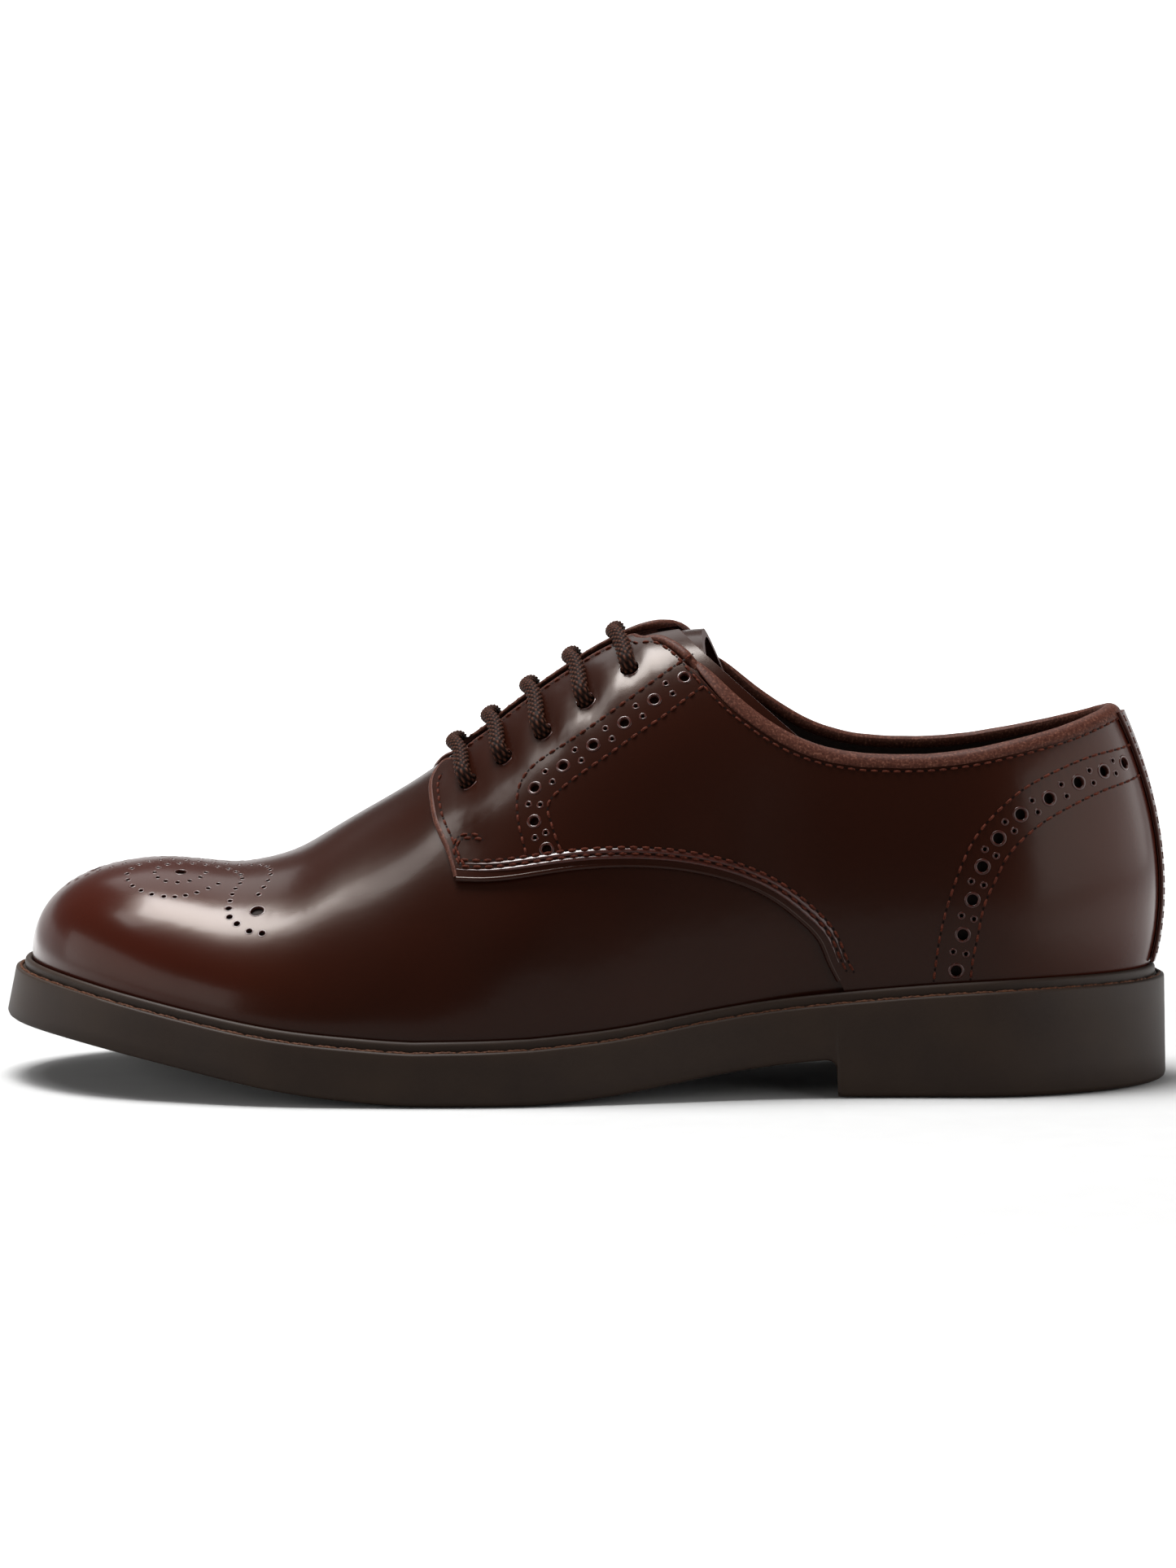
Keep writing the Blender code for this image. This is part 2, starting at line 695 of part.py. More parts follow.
def make_outsole(finish):
    """The moulded sole. Its heel block is joined on, with a square breast."""
    stations = x_of(0.5) - SOLE_LENGTH / 2 * np.cos(np.pi * np.arange(27) / 26)
    x = np.interp(np.linspace(0, 1, 31), np.linspace(0, 1, 27), stations)
    all_x = loop_xy()[:, 0]
    rings = [ring_at(x, inset_loop(inset)) for inset in (TREAD_EDGE, 0.0, flare(all_x))]
    bottom, wall, top = (np.column_stack([r, np.zeros(len(r))]) for r in rings)
    bottom[:, 2] = underside(bottom[:, 0])
    wall[:, 2] = underside(wall[:, 0]) + TREAD_EDGE * 0.8
    top[:, 2] = deck(top[:, 0])
    sole = plate("outsole", [bottom, wall, top], finish)
    breast = SOLE_LENGTH / 2 - HEEL_LENGTH
    heel_x = np.concatenate([[breast], x[x > breast + 0.004]])
    ends = [ring_at(x, inset_loop(i)) for i in (TREAD_EDGE, 0.0, SIDE_FLARE)]
    block = []
    for ring, z in zip(ends, (0.0, TREAD_EDGE * 0.8, None)):
        lateral, medial = ring[:len(x)], np.vstack([ring[:1], ring[len(x) - 1:][::-1]])
        tip = ring[len(x) - 1, 0]
        at = np.minimum(heel_x, tip)
        at[-1] = tip
        side_a = np.column_stack([at, np.interp(at, lateral[:, 0], lateral[:, 1])])
        side_b = np.column_stack([at, np.interp(at, medial[:, 0], medial[:, 1])])[::-1]
        loop = np.vstack([side_a, side_b[1:]])
        height = underside(loop[:, 0]) + SOLE_THICKNESS / 2 if z is None else np.full(len(loop), z)
        block.append(np.column_stack([loop, height]))
    size = len(block[0])
    points = [p for level in block for p in level]
    faces = [tuple(range(size)), tuple(range(2 * size, 3 * size))]
    for n in range(2):
        for k in range(size):
            after = (k + 1) % size
            faces.append((n * size + k, n * size + after, (n + 1) * size + after, (n + 1) * size + k))
    heel = object_from("heel block", points, faces)
    boolean(sole, heel, "UNION")
    return sole


def make_rand(finish):
    """The welt's rand, a low rounded ridge round the foot of the upper."""
    x = station_x()
    all_x = loop_xy()[:, 0]
    edge = flare(all_x) + WELT_LEDGE
    section = (
        # inset from the ledge, height over the deck
        (0.0, GAP),
        (0.0, RAND_HEIGHT * 0.62),
        (RAND_WIDTH * 0.32, RAND_HEIGHT),
        (RAND_WIDTH - RAND_LEAN, RAND_HEIGHT),
        (RAND_WIDTH, GAP),
    )
    rings = []
    for inset, height in section:
        ring = ring_at(x, inset_loop(edge + inset))
        rings.append(np.column_stack([ring, deck(ring[:, 0]) + height]))
    return ring_solid("welt_rand", np.array(rings).transpose(1, 0, 2), finish)


def make_insole(finish):
    x = station_x()
    inset = foot_inset() + UPPER_WALL + GAP
    ring = ring_at(x, inset_loop(inset))
    levels = [np.column_stack([ring, deck(ring[:, 0]) + h]) for h in (GAP, GAP + INSOLE_THICKNESS)]
    return plate("insole", levels, finish)


def at_height(rib, height):
    """Share up a rib where it first climbs over a height, given as a function of X and Y, or None."""
    share = np.linspace(0, STEPS, STEPS * 40 + 1)
    points = along_rib(rib, share)
    over = points[:, 2] - height(points[:, 0], points[:, 1])
    crossing = np.flatnonzero((over[:-1] < 0) & (over[1:] >= 0))
    return share[crossing[0]] if len(crossing) else None


def along_rib(rib, share):
    return np.column_stack([np.interp(share, np.arange(STEPS + 1), rib[:, c]) for c in range(3)])


FLATTEST = 1.0     # keeps the binding from growing long where the wall lies nearly flat


def binding_rings():
    """Sections of the binding, from the lateral facing round the heel to the medial facing.

    Each stands on the cut edge of the wall and ends at the collar line, whatever the wall's slope.
    """
    grid = ribs()
    outward = rib_normals(grid)
    inner, outer = -UPPER_WALL * 0.9, GAP + QUARTER_LEATHER + BINDING_PROUD
    turn = np.radians(np.arange(22.5, 360, 45))
    section = np.column_stack([np.cos(turn), np.sin(turn)]) / np.cos(np.radians(22.5))
    rings = []

    def seat(x, y):
        return wall_edge(x, y) + 1.6 * GAP

    for k in range(len(grid)):
        for share in (0, 0.5):
            after = (k + 1) % len(grid)
            rib = grid[k] * (1 - share) + grid[after] * share
            low, high = at_height(rib, seat), at_height(rib, collar_height)
            if low is None or high is None or along_collar(*along_rib(rib, [high])[0, :2]) < BINDING_START:
                continue
            across = along_rib(outward[k] * (1 - share) + outward[after] * share, [(low + high) / 2])[0]
            level = np.linalg.norm(across[:2])
            across = across[:2] / level / max(level / np.linalg.norm(across), FLATTEST)
            ring = []
            for out, up in section:
                up = (up + 1) / 2
                reach = inner + (outer - inner) * (out + 1) / 2
                x, y = along_rib(rib, [low + (high - low) * up])[0, :2] + across * reach
                ring.append((x, y, seat(x, y) * (1 - up) + collar_height(x, y) * up))
            rings.append(ring)
    return rings


def make_binding(finish):
    """The bound edge of the collar, a bead on top of the wall."""
    return ring_solid("collar_binding", binding_rings(), finish, closed=False)


def lace_bar(number, near, far, tree, finish):
    """A flattened bar of lace over the throat, its ends just inside the eyelets."""
    lift = LACE_THICKNESS / 2 + 1.5 * GAP
    (a, normal_a), (b, normal_b) = near, far
    facing = (1 - THROAT_GAP / abs(b.y - a.y)) / 2
    over = []
    for share in (facing * 0.45, facing, 1 - facing, 1 - facing * 0.45):
        flat = a.lerp(b, share)
        x = flat.x - LACE_BOW * min(share, 1 - share) / facing
        hit, normal, _, _ = tree.ray_cast(Vector((x, flat.y, FAR * 2)), Vector((0, 0, -1)))
        over.append(hit + normal * lift)
    middle = (over[1] + over[2]) / 2 - Vector((LACE_BOW / 2, 0, 0))
    points = [a - normal_a * LACE_DIP, a + normal_a * lift * 0.6, over[0], over[1], middle,
              over[2], over[3], b + normal_b * lift * 0.6, b - normal_b * LACE_DIP]
    path = smooth_through(points, 15)
    side = Vector((1, 0, INSTEP_SLOPE)).normalized()
    turn = np.radians(np.arange(22.5, 360, 45))
    rings = []
    for point, ahead in zip(path, np.gradient(path, axis=0)):
        up = side.cross(Vector(ahead)).normalized()
        across = Vector(ahead).cross(up).normalized()
        rings.append([Vector(point) + across * (LACE_WIDTH / 2 * np.cos(t)) + up * (LACE_THICKNESS / 2 * np.sin(t))
                      for t in turn])
    return ring_solid(f"lace_bar_{number}", rings, finish, closed=False)


def smooth_through(points, count):
    """Evenly spaced points on a smooth curve through the given ones."""
    p = np.array([list(q) for q in points], float)
    reach = np.concatenate([[0], np.cumsum(np.linalg.norm(np.diff(p, axis=0), axis=1))])
    rows = [(s, *q) for s, q in zip(reach / reach[-1], p)]
    at = np.linspace(0, 1, count)
    return np.column_stack([natural_spline(rows, c)(at) for c in (1, 2, 3)])


def main():
    for old in list(bpy.data.objects):
        bpy.data.objects.remove(old)
    leather = material("glazed burgundy calf", (0.055, 0.014, 0.009), 0.18)
    edge = material("binding leather", (0.12, 0.055, 0.042), 0.42)
    rubber = material("brown rubber", (0.036, 0.024, 0.019), 0.62)
    lining = material("lining leather", (0.035, 0.020, 0.015), 0.60)
    cord = material("waxed lace", (0.033, 0.015, 0.011), 0.70)

    surface = surface_tree(GAP + QUARTER_LEATHER)
    places = eyelet_places(surface)
    make_outsole(rubber)
    make_rand(rubber)
    make_insole(lining)
    make_upper(leather, places)
    for side in (-1, 1):
        make_quarter(side, leather, places)
    make_backstay(leather)
    make_tongue(leather)
    make_binding(edge)
    for number, (near, far) in enumerate(places, 1):
        lace_bar(number, near, far, surface, cord)


main()
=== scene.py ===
"""A left derby brogue in high-shine burgundy calf on a moulded rubber sole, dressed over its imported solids.

Metres, +Z up. The toe points to -X, the heel to +X, the outer (lateral) side of the foot to -Y.
Charts of seams and holes are in millimetres: side charts give (x, z), plan charts give (x, y).
"""

import bmesh
import bpy
import numpy as np
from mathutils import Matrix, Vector
from mathutils.bvhtree import BVHTree


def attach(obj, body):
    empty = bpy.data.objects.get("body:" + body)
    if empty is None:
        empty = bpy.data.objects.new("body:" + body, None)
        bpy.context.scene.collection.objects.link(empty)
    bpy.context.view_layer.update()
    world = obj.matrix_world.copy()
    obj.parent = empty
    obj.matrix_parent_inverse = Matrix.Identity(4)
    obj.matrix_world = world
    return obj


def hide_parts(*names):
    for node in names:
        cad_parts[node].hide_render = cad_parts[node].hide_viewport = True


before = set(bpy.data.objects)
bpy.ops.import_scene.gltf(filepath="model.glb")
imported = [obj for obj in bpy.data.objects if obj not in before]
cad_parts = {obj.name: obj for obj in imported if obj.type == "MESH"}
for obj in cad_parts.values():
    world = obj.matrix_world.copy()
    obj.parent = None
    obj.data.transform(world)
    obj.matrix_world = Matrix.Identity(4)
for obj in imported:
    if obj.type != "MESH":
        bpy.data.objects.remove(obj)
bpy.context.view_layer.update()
MM = 0.001

# The shoe's sizes, as its solids have them
SOLE_LENGTH = 0.3015
BALL_WIDTH = 0.1055
TOE_SWING = 0.006
TOE_CAP_LENGTH = 0.045
HEEL_CAP_LENGTH = 0.052
SOLE_THICKNESS = 0.0134
TOE_SPRING = 0.0158
HEEL_LIFT = 0.0098
FLAT_SHARE = 0.012
HEEL_LENGTH = 0.0870
TOE_FLARE = 0.0022
SIDE_FLARE = 0.0006
TREAD_EDGE = 0.0016
WELT_LEDGE = 0.0024
RAND_WIDTH = 0.0019
RAND_HEIGHT = 0.0026
UPPER_WALL = 0.0016
QUARTER_LEATHER = 0.0012
BACKSTAY_LEATHER = 0.0010
BACKSTAY_WIDTH = 0.0140
INSTEP_RISE = 0.0985
RIDGE_SWING = 0.0040
BELLY = 0.0040
COLLAR_DIP = 0.0865
COLLAR_SKEW = 0.110
COLLAR_HALF_WIDTH = 0.027
GAP = 0.0003
BINDING_HEIGHT = 0.0030
BINDING_START = 0.553
BINDING_TAPER = 0.012
BINDING_FRONT = 0.0255      # in front of this the bound edge is a rolled cord
INSOLE_THICKNESS = 0.0030
THROAT_GAP = 0.0130
THROAT_MIDDLE = 0.0010
EYELET_DIAMETER = 0.0050
LACE_THICKNESS = 0.0030
LACE_BOW = 0.0024
PLAIT_WIDTH = 0.0039        # the drawn lace is rounder than its solid
PLAIT_DEPTH = 0.0033
TONGUE_THICKNESS = 0.0022
TONGUE_LEAN = 0.36
TONGUE_TWIST = 0.12
TONGUE_TOP = 0.0290
FAR = 0.09

OUTLINE = (
    # along, lateral, medial
    (0.000, 0.800, 0.790), (0.066, 0.835, 0.825), (0.133, 0.880, 0.860), (0.200, 0.980, 0.922),
    (0.250, 1.024, 0.944), (0.300, 1.039, 0.940), (0.350, 1.043, 0.910), (0.400, 1.037, 0.850),
    (0.450, 1.010, 0.772), (0.500, 0.953, 0.696), (0.550, 0.887, 0.637), (0.600, 0.820, 0.601),
    (0.650, 0.764, 0.590), (0.700, 0.735, 0.603), (0.750, 0.728, 0.630), (0.800, 0.728, 0.664),
    (0.880, 0.728, 0.694), (1.000, 0.726, 0.700),
)
SIDE = (
    # along, toe, heel, thick
    (0.000, 1.000, 0.00, 0.98), (0.033, 0.950, 0.00, 0.97), (0.066, 0.875, 0.00, 0.95), (0.100, 0.765, 0.00, 0.93),
    (0.133, 0.645, 0.00, 0.92), (0.165, 0.520, 0.00, 0.92), (0.200, 0.385, 0.00, 0.93), (0.250, 0.210, 0.00, 0.96),
    (0.300, 0.092, 0.00, 0.99), (0.350, 0.018, 0.00, 1.00), (0.380, 0.000, 0.00, 1.01), (0.410, 0.000, 0.00, 1.02),
    (0.440, 0.000, 0.00, 1.04), (0.475, 0.000, 0.05, 1.06), (0.520, 0.000, 0.19, 1.05), (0.600, 0.000, 0.60, 1.04),
    (0.660, 0.000, 0.86, 1.04), (0.715, 0.000, 1.00, 1.06), (0.800, 0.000, 1.09, 1.15), (0.900, 0.000, 1.15, 1.20),
    (1.000, 0.000, 1.17, 1.17),
)
RIDGE = (
    # along, rise
    (0.120, 0.348), (0.142, 0.355), (0.175, 0.366), (0.205, 0.379), (0.231, 0.407), (0.252, 0.437), (0.274, 0.482),
    (0.302, 0.541), (0.331, 0.599), (0.358, 0.653), (0.387, 0.713), (0.415, 0.773), (0.442, 0.836), (0.470, 0.894),
    (0.500, 0.949), (0.530, 0.990), (0.560, 1.008), (0.600, 1.004), (0.700, 0.960), (0.800, 0.918), (0.930, 0.866),
)
LAST = (
    # along, belly, rise, shoulder, drop, swing
    (0.020, 0.48, 0.54, 0.77, 0.02, 0.00), (0.080, 0.54, 0.54, 0.71, 0.01, 0.00), (0.142, 0.60, 0.54, 0.60, 0.00, 0.02),
    (0.250, 0.75, 0.50, 0.54, 0.00, 0.25), (0.330, 0.70, 0.46, 0.52, 0.00, 0.60), (0.450, 0.60, 0.45, 0.66, 0.00, 1.00),
    (0.550, 0.70, 0.44, 0.82, 0.00, 1.00), (0.650, 0.95, 0.43, 0.84, 0.00, 0.90), (0.750, 1.00, 0.42, 0.80, 0.01, 0.50),
    (0.850, 1.05, 0.41, 0.82, 0.06, 0.10), (0.930, 1.40, 0.34, 0.90, 0.18, 0.00), (0.976, 2.05, 0.28, 1.04, 0.33, 0.00),
)
SPINE_FRONT, SPINE_REAR, SPINE_SOFTNESS = 0.142, 0.926, 0.012
COLLAR = (
    # along, rise
    (0.520, 0.3800), (0.536, 0.3260), (0.552, 0.3090), (0.567, 0.2980), (0.584, 0.2620), (0.599, 0.2240),
    (0.616, 0.1750), (0.642, 0.1110), (0.668, 0.0600), (0.690, 0.0300), (0.725, 0.0060), (0.760, 0.0000),
    (0.790, 0.0020), (0.823, 0.0140), (0.872, 0.0450), (0.912, 0.0790), (0.940, 0.1120), (1.020, 0.2100),
)

# Side charts, in millimetres
QUARTER_FRONT = ((-32.7, 83.6), (-36.2, 83.0), (-38.5, 81.0), (-39.8, 78.0), (-39.5, 75.0), (-38.3, 70.1),
                 (-35.3, 64.1), (-32.8, 56.8))
QUARTER_LOWER = ((-32.8, 56.4), (-26.0, 56.4), (-18.8, 57.1), (-5.9, 59.0), (7.1, 59.9), (20.2, 59.3), (33.9, 56.6),
                 (47.8, 50.4), (54.8, 44.8), (59.6, 39.4), (62.0, 33.7), (65.5, 26.8), (68.8, 12.0))
EYELETS = ((0.4005, 0.911), (0.4307, 0.983), (0.4638, 1.058), (0.4997, 1.149), (0.5368, 1.244))
FACING_OUTER = ((28.0, 111.6), (24.5, 109.6), (19.0, 106.1), (13.8, 102.5), (7.2, 97.8), (0.6, 93.2), (-4.8, 89.6),
                (-9.9, 86.3), (-15.1, 81.9), (-17.1, 78.0), (-17.4, 73.1), (-16.6, 68.1), (-15.4, 63.8), (-14.8, 61.0))
FACING_INNER = ((30.6, 104.0), (25.4, 100.6), (20.4, 96.9), (13.8, 92.6), (7.2, 88.0), (1.0, 83.8), (-4.5, 79.9),
                (-7.8, 77.1), (-9.3, 75.3), (-9.7, 73.3), (-9.2, 71.4), (-7.8, 67.1), (-6.0, 62.6))
FACING_HOLES = ((25.0, 105.7), (17.3, 100.3), (9.7, 94.7), (1.8, 89.2), (-5.8, 84.0), (-13.0, 78.5), (-13.1, 70.5),
                (-9.9, 63.8))
HEEL_OUTER = ((142.5, 87.4), (140.2, 86.9), (130.8, 85.5), (119.8, 82.0), (111.3, 77.8), (103.9, 71.8), (98.7, 65.8),
              (95.8, 60.3), (93.2, 53.5), (90.7, 45.2), (89.3, 38.1), (88.2, 29.0))
HEEL_INNER = ((142.8, 79.2), (140.8, 78.6), (133.3, 76.8), (124.0, 73.3), (116.5, 69.5), (111.2, 65.6), (107.0, 61.2),
              (103.5, 54.5), (100.8, 48.3), (99.4, 41.3), (98.4, 36.5), (97.5, 29.0))
HEEL_HOLES = ((138.1, 82.8), (132.3, 81.3), (125.4, 78.9), (117.6, 75.2), (110.2, 71.4), (104.5, 65.5), (100.4, 58.4),
              (97.9, 50.0), (95.5, 41.1), (93.9, 31.8))
STITCH = (0.0022, 0.0009)                   # length, space
SEAM_INSETS, SWELL_INSETS = (2.8, 4.3), (2.05, 3.55)        # from the quarter's lower edge
FACING_PUNCH, HEEL_PUNCH, SMALL_PUNCH, DOT_PUNCH, TAIL_PUNCH = 2.5, 2.9, 1.1, 1.25, 1.7
VAMP_REAR = 0.078                           # behind this the quarters hide the vamp
VAMP_THROAT, QUARTER_THROAT = 0.383, 0.33   # where the throat starts, along the sole
LACE_DIP = 0.0030                           # how far a lace bar's ends go down into the eyelets
BARTACK = ((-26.0, 66.1), (-29.3, 66.3), (-32.2, 65.5), (-33.1, 63.8), (-32.5, 61.5), (-30.9, 58.9))

# The toe's medallion, one half: (x, distance from the toe's centre line), in millimetres
SCROLL = ((-97.9, 12.9), (-99.1, 16.2), (-101.7, 18.7), (-104.7, 19.8), (-107.8, 19.4), (-110.0, 17.6), (-111.0, 14.7),
          (-110.3, 11.4), (-108.1, 8.8), (-105.1, 7.2), (-101.7, 6.4), (-98.3, 6.3), (-95.1, 7.1), (-92.2, 8.8),
          (-90.2, 11.2), (-88.9, 13.6), (-88.3, 16.2), (-88.7, 19.0), (-89.7, 21.6), (-90.4, 24.2), (-90.8, 26.9))
SCROLL_TAIL = ((-91.0, 29.6), (-90.6, 32.4), (-88.6, 34.6), (-85.3, 37.0), (-82.0, 38.0))
RING = ((-94.3, 19.1), (-96.7, 21.7), (-99.5, 23.8), (-102.3, 25.2), (-105.0, 25.9), (-107.8, 25.8), (-111.0, 24.9),
        (-113.9, 23.2), (-116.3, 20.8), (-117.7, 17.6), (-118.2, 14.0), (-117.3, 10.6), (-115.6, 7.7), (-113.1, 5.4),
        (-110.2, 3.9), (-107.0, 3.1), (-103.6, 2.7), (-100.2, 2.5), (-96.7, 2.6), (-93.2, 3.1), (-89.8, 4.0),
        (-86.6, 5.5), (-84.1, 7.7), (-82.3, 10.4), (-81.3, 13.4), (-81.0, 16.6), (-81.5, 19.8), (-82.4, 22.8),
        (-83.6, 25.6))
TIP_CHAIN = ((-134.6, 2.2), (-132.3, 3.2), (-129.5, 4.0), (-126.4, 4.4), (-123.1, 4.3), (-119.8, 3.6))
EYES = ((-104.3, 13.9, 3.0), (-83.6, 31.6, 3.6), (-127.6, 0.0, 2.8))

# Don't refine this grid without counting faces: with 180 by 46 the Booleans left both quarters and the backstay empty
RIBS, STEPS, SAMPLES = 120, 32, 900


def unit(rows):
    """Vectors brought to length one."""
    return rows / np.linalg.norm(rows, axis=1)[:, None]


def heading(path):
    return unit(np.gradient(path, axis=0))


def reach_along(line):
    """How far along the line each of its points lies."""
    return np.concatenate([[0], np.cumsum(np.linalg.norm(np.diff(line, axis=0), axis=1))])


def parted(found):
    """Pairs of (point, normal) as one array of points and one of normals."""
    return np.array([f[0] for f in found]), np.array([f[1] for f in found])


def circle(angle, a, b):
    """Points at these angles round a circle of radius one that a and b span."""
    return np.outer(np.cos(angle), a) + np.outer(np.sin(angle), b)


def natural_spline(rows, column):
    """A smooth curve through one column of a table, flat outside it."""
    x = np.array([row[0] for row in rows], float)
    y = np.array([row[column] for row in rows], float)
    h = np.diff(x)
    n = len(x)
    matrix = np.eye(n)
    side = np.zeros(n)
    for i in range(1, n - 1):
        matrix[i, i - 1:i + 2] = h[i - 1], 2 * (h[i - 1] + h[i]), h[i]
        side[i] = 6 * ((y[i + 1] - y[i]) / h[i] - (y[i] - y[i - 1]) / h[i - 1])
    bend = np.linalg.solve(matrix, side)

    def value(at):
        at = np.clip(np.asarray(at, float), x[0], x[-1])
        i = np.clip(np.searchsorted(x, at) - 1, 0, n - 2)
        a, b = x[i + 1] - at, at - x[i]
        cubic = (bend[i] * a ** 3 + bend[i + 1] * b ** 3) / (6 * h[i])
        return cubic + (y[i] / h[i] - bend[i] * h[i] / 6) * a + (y[i + 1] / h[i] - bend[i + 1] * h[i] / 6) * b

    return value


lateral_width, medial_width = natural_spline(OUTLINE, 1), natural_spline(OUTLINE, 2)
toe_lift, heel_lift, thickness = (natural_spline(SIDE, c) for c in (1, 2, 3))
ridge_rise = natural_spline(RIDGE, 1)
belly_share, handle_rise, shoulder_out, shoulder_drop, ridge_swing = (
    natural_spline(LAST, c) for c in (1, 2, 3, 4, 5))
collar_rise = natural_spline(COLLAR, 1)


def along_of(x):
    return np.asarray(x, float) / SOLE_LENGTH + 0.5


def x_of(along):
    return (np.asarray(along, float) - 0.5) * SOLE_LENGTH


def underside(x):
    a = along_of(x)
    return (np.clip(toe_lift(a) - FLAT_SHARE, 0, None) * TOE_SPRING
            + np.clip(heel_lift(a) - FLAT_SHARE, 0, None) * HEEL_LIFT)


def deck(x):
    return underside(x) + thickness(along_of(x)) * SOLE_THICKNESS


def round_end(distance, length, power):
    return (1 - np.clip(1 - distance / length, 0, 1) ** power) ** (1 / power)


def centre_line(x):
    return TOE_SWING * np.clip(1 - 2 * along_of(x), 0, None) ** 2


def outline_y(x, side):
    a = along_of(x)
    half = (lateral_width(a) if side < 0 else medial_width(a)) * BALL_WIDTH / 2
    ends = round_end(a * SOLE_LENGTH, TOE_CAP_LENGTH, 2.0) * round_end((1 - a) * SOLE_LENGTH, HEEL_CAP_LENGTH, 1.9)
    return centre_line(x) + side * half * ends


SPREAD = SOLE_LENGTH / 2 * -np.cos(np.pi * np.arange(SAMPLES + 1) / SAMPLES)
COARSE = SOLE_LENGTH / 2 * -np.cos(np.pi * np.arange(401) / 400)
MIDDLE_Y = (outline_y(COARSE, -1).min() + outline_y(COARSE, 1).max()) / 2


def sole_loop(inset=0.0):
    """The sole's outline as a closed loop from the toe down the lateral side and back, moved in by inset."""
    lateral = np.column_stack([SPREAD, outline_y(SPREAD, -1)])
    medial = np.column_stack([SPREAD, outline_y(SPREAD, 1)])[::-1]
    loop = np.vstack([lateral, medial[1:-1]])
    loop[:, 1] -= MIDDLE_Y
    ahead = unit(np.roll(loop, -1, axis=0) - np.roll(loop, 1, axis=0))
    return loop + np.column_stack([-ahead[:, 1], ahead[:, 0]]) * np.broadcast_to(inset, len(loop))[:, None]


LOOP_X = sole_loop()[:, 0]


def flare(x):
    return SIDE_FLARE + (TOE_FLARE - SIDE_FLARE) * np.clip((0.20 - along_of(x)) / 0.20, 0, 1) ** 2


def quarter_step(x):
    t = np.clip((along_of(x) - 0.62) / 0.10, 0, 1)
    return (QUARTER_LEATHER + GAP) * t * t * (3 - 2 * t)


FOOT_INSET = flare(LOOP_X) + WELT_LEDGE + RAND_WIDTH + GAP + quarter_step(LOOP_X)


def half_loops(loop):
    return loop[:SAMPLES + 1], np.vstack([loop[:1], loop[SAMPLES:][::-1]])


def station_x(count=RIBS):
    lateral, medial = half_loops(sole_loop(FOOT_INSET))
    length = reach_along((lateral + medial * (1, -1)) / 2)
    return np.interp(np.linspace(0, length[-1], count + 1), length, lateral[:, 0])


def ring_at(x, loop):
    """Points of a dense loop at the stations: lateral from toe to heel, then medial back to the toe."""
    lateral, medial = half_loops(loop)
    at = lateral[0, 0] + (x - x[0]) / (x[-1] - x[0]) * (lateral[-1, 0] - lateral[0, 0])
    down = np.column_stack([at, np.interp(at, lateral[:, 0], lateral[:, 1])])
    back = np.column_stack([at, np.interp(at, medial[:, 0], medial[:, 1])])[::-1]
    return np.vstack([down, back[1:-1]])


def soft_limit(x):
    front, rear = x_of(SPINE_FRONT), x_of(SPINE_REAR)
    x = front + (x - front + np.hypot(x - front, SPINE_SOFTNESS)) / 2
    return rear - (rear - x + np.hypot(rear - x, SPINE_SOFTNESS)) / 2


def ridge_height(x):
    return deck(x) + ridge_rise(along_of(x)) * INSTEP_RISE


def ridge_y(x):
    return centre_line(x) + ridge_swing(along_of(x)) * RIDGE_SWING - MIDDLE_Y


def last_ribs():
    """The last as ribs from its foot up to the ridge: [rib round the foot, step up the rib, xyz]."""
    x = station_x()
    foot = ring_at(x, sole_loop(FOOT_INSET))
    ahead = np.roll(foot, -1, axis=0) - np.roll(foot, 1, axis=0)
    outward = unit(np.column_stack([ahead[:, 1], -ahead[:, 0]]))
    a = along_of(foot[:, 0])
    low = deck(foot[:, 0]) + GAP
    spine_x = soft_limit(foot[:, 0])
    spine = np.column_stack([spine_x, ridge_y(spine_x)])
    top = ridge_height(spine_x)
    height = top - low
    p0 = np.column_stack([foot, low])
    p1 = np.column_stack([foot + outward * (belly_share(a) * BELLY)[:, None], low + handle_rise(a) * height])
    p2 = np.column_stack([spine + (foot - spine) * shoulder_out(a)[:, None], top - shoulder_drop(a) * height])
    p3 = np.column_stack([spine, top])
    t = np.linspace(0, 1, STEPS + 1)[None, :, None]
    p0, p1, p2, p3 = (p[:, None, :] for p in (p0, p1, p2, p3))
    return (1 - t) ** 3 * p0 + 3 * (1 - t) ** 2 * t * p1 + 3 * (1 - t) * t ** 2 * p2 + t ** 3 * p3


MIRROR = (2 * RIBS - np.arange(2 * RIBS)) % (2 * RIBS)     # the rib that meets each rib on the ridge


def over_ridge(grid):
    """The row beyond the ridge, on the other side."""
    return grid[MIRROR, -2]


def eased(grid, rounds, shrink=0.5, swell=-0.53):
    """Smooths the ribs against each other and across the ridge, and keeps their foot and their size."""
    grid = grid.copy()
    for _ in range(rounds):
        for weight in (shrink, swell):
            padded = np.concatenate([grid, over_ridge(grid)[:, None]], axis=1)
            near = (np.roll(grid, 1, 0) + np.roll(grid, -1, 0))[:, 1:] + padded[:, 2:] + padded[:, :-2]
            grid[:, 1:] += weight * (near / 4 - grid[:, 1:])
            grid[:, -1] = (grid[:, -1] + grid[MIRROR, -1]) / 2
    return grid


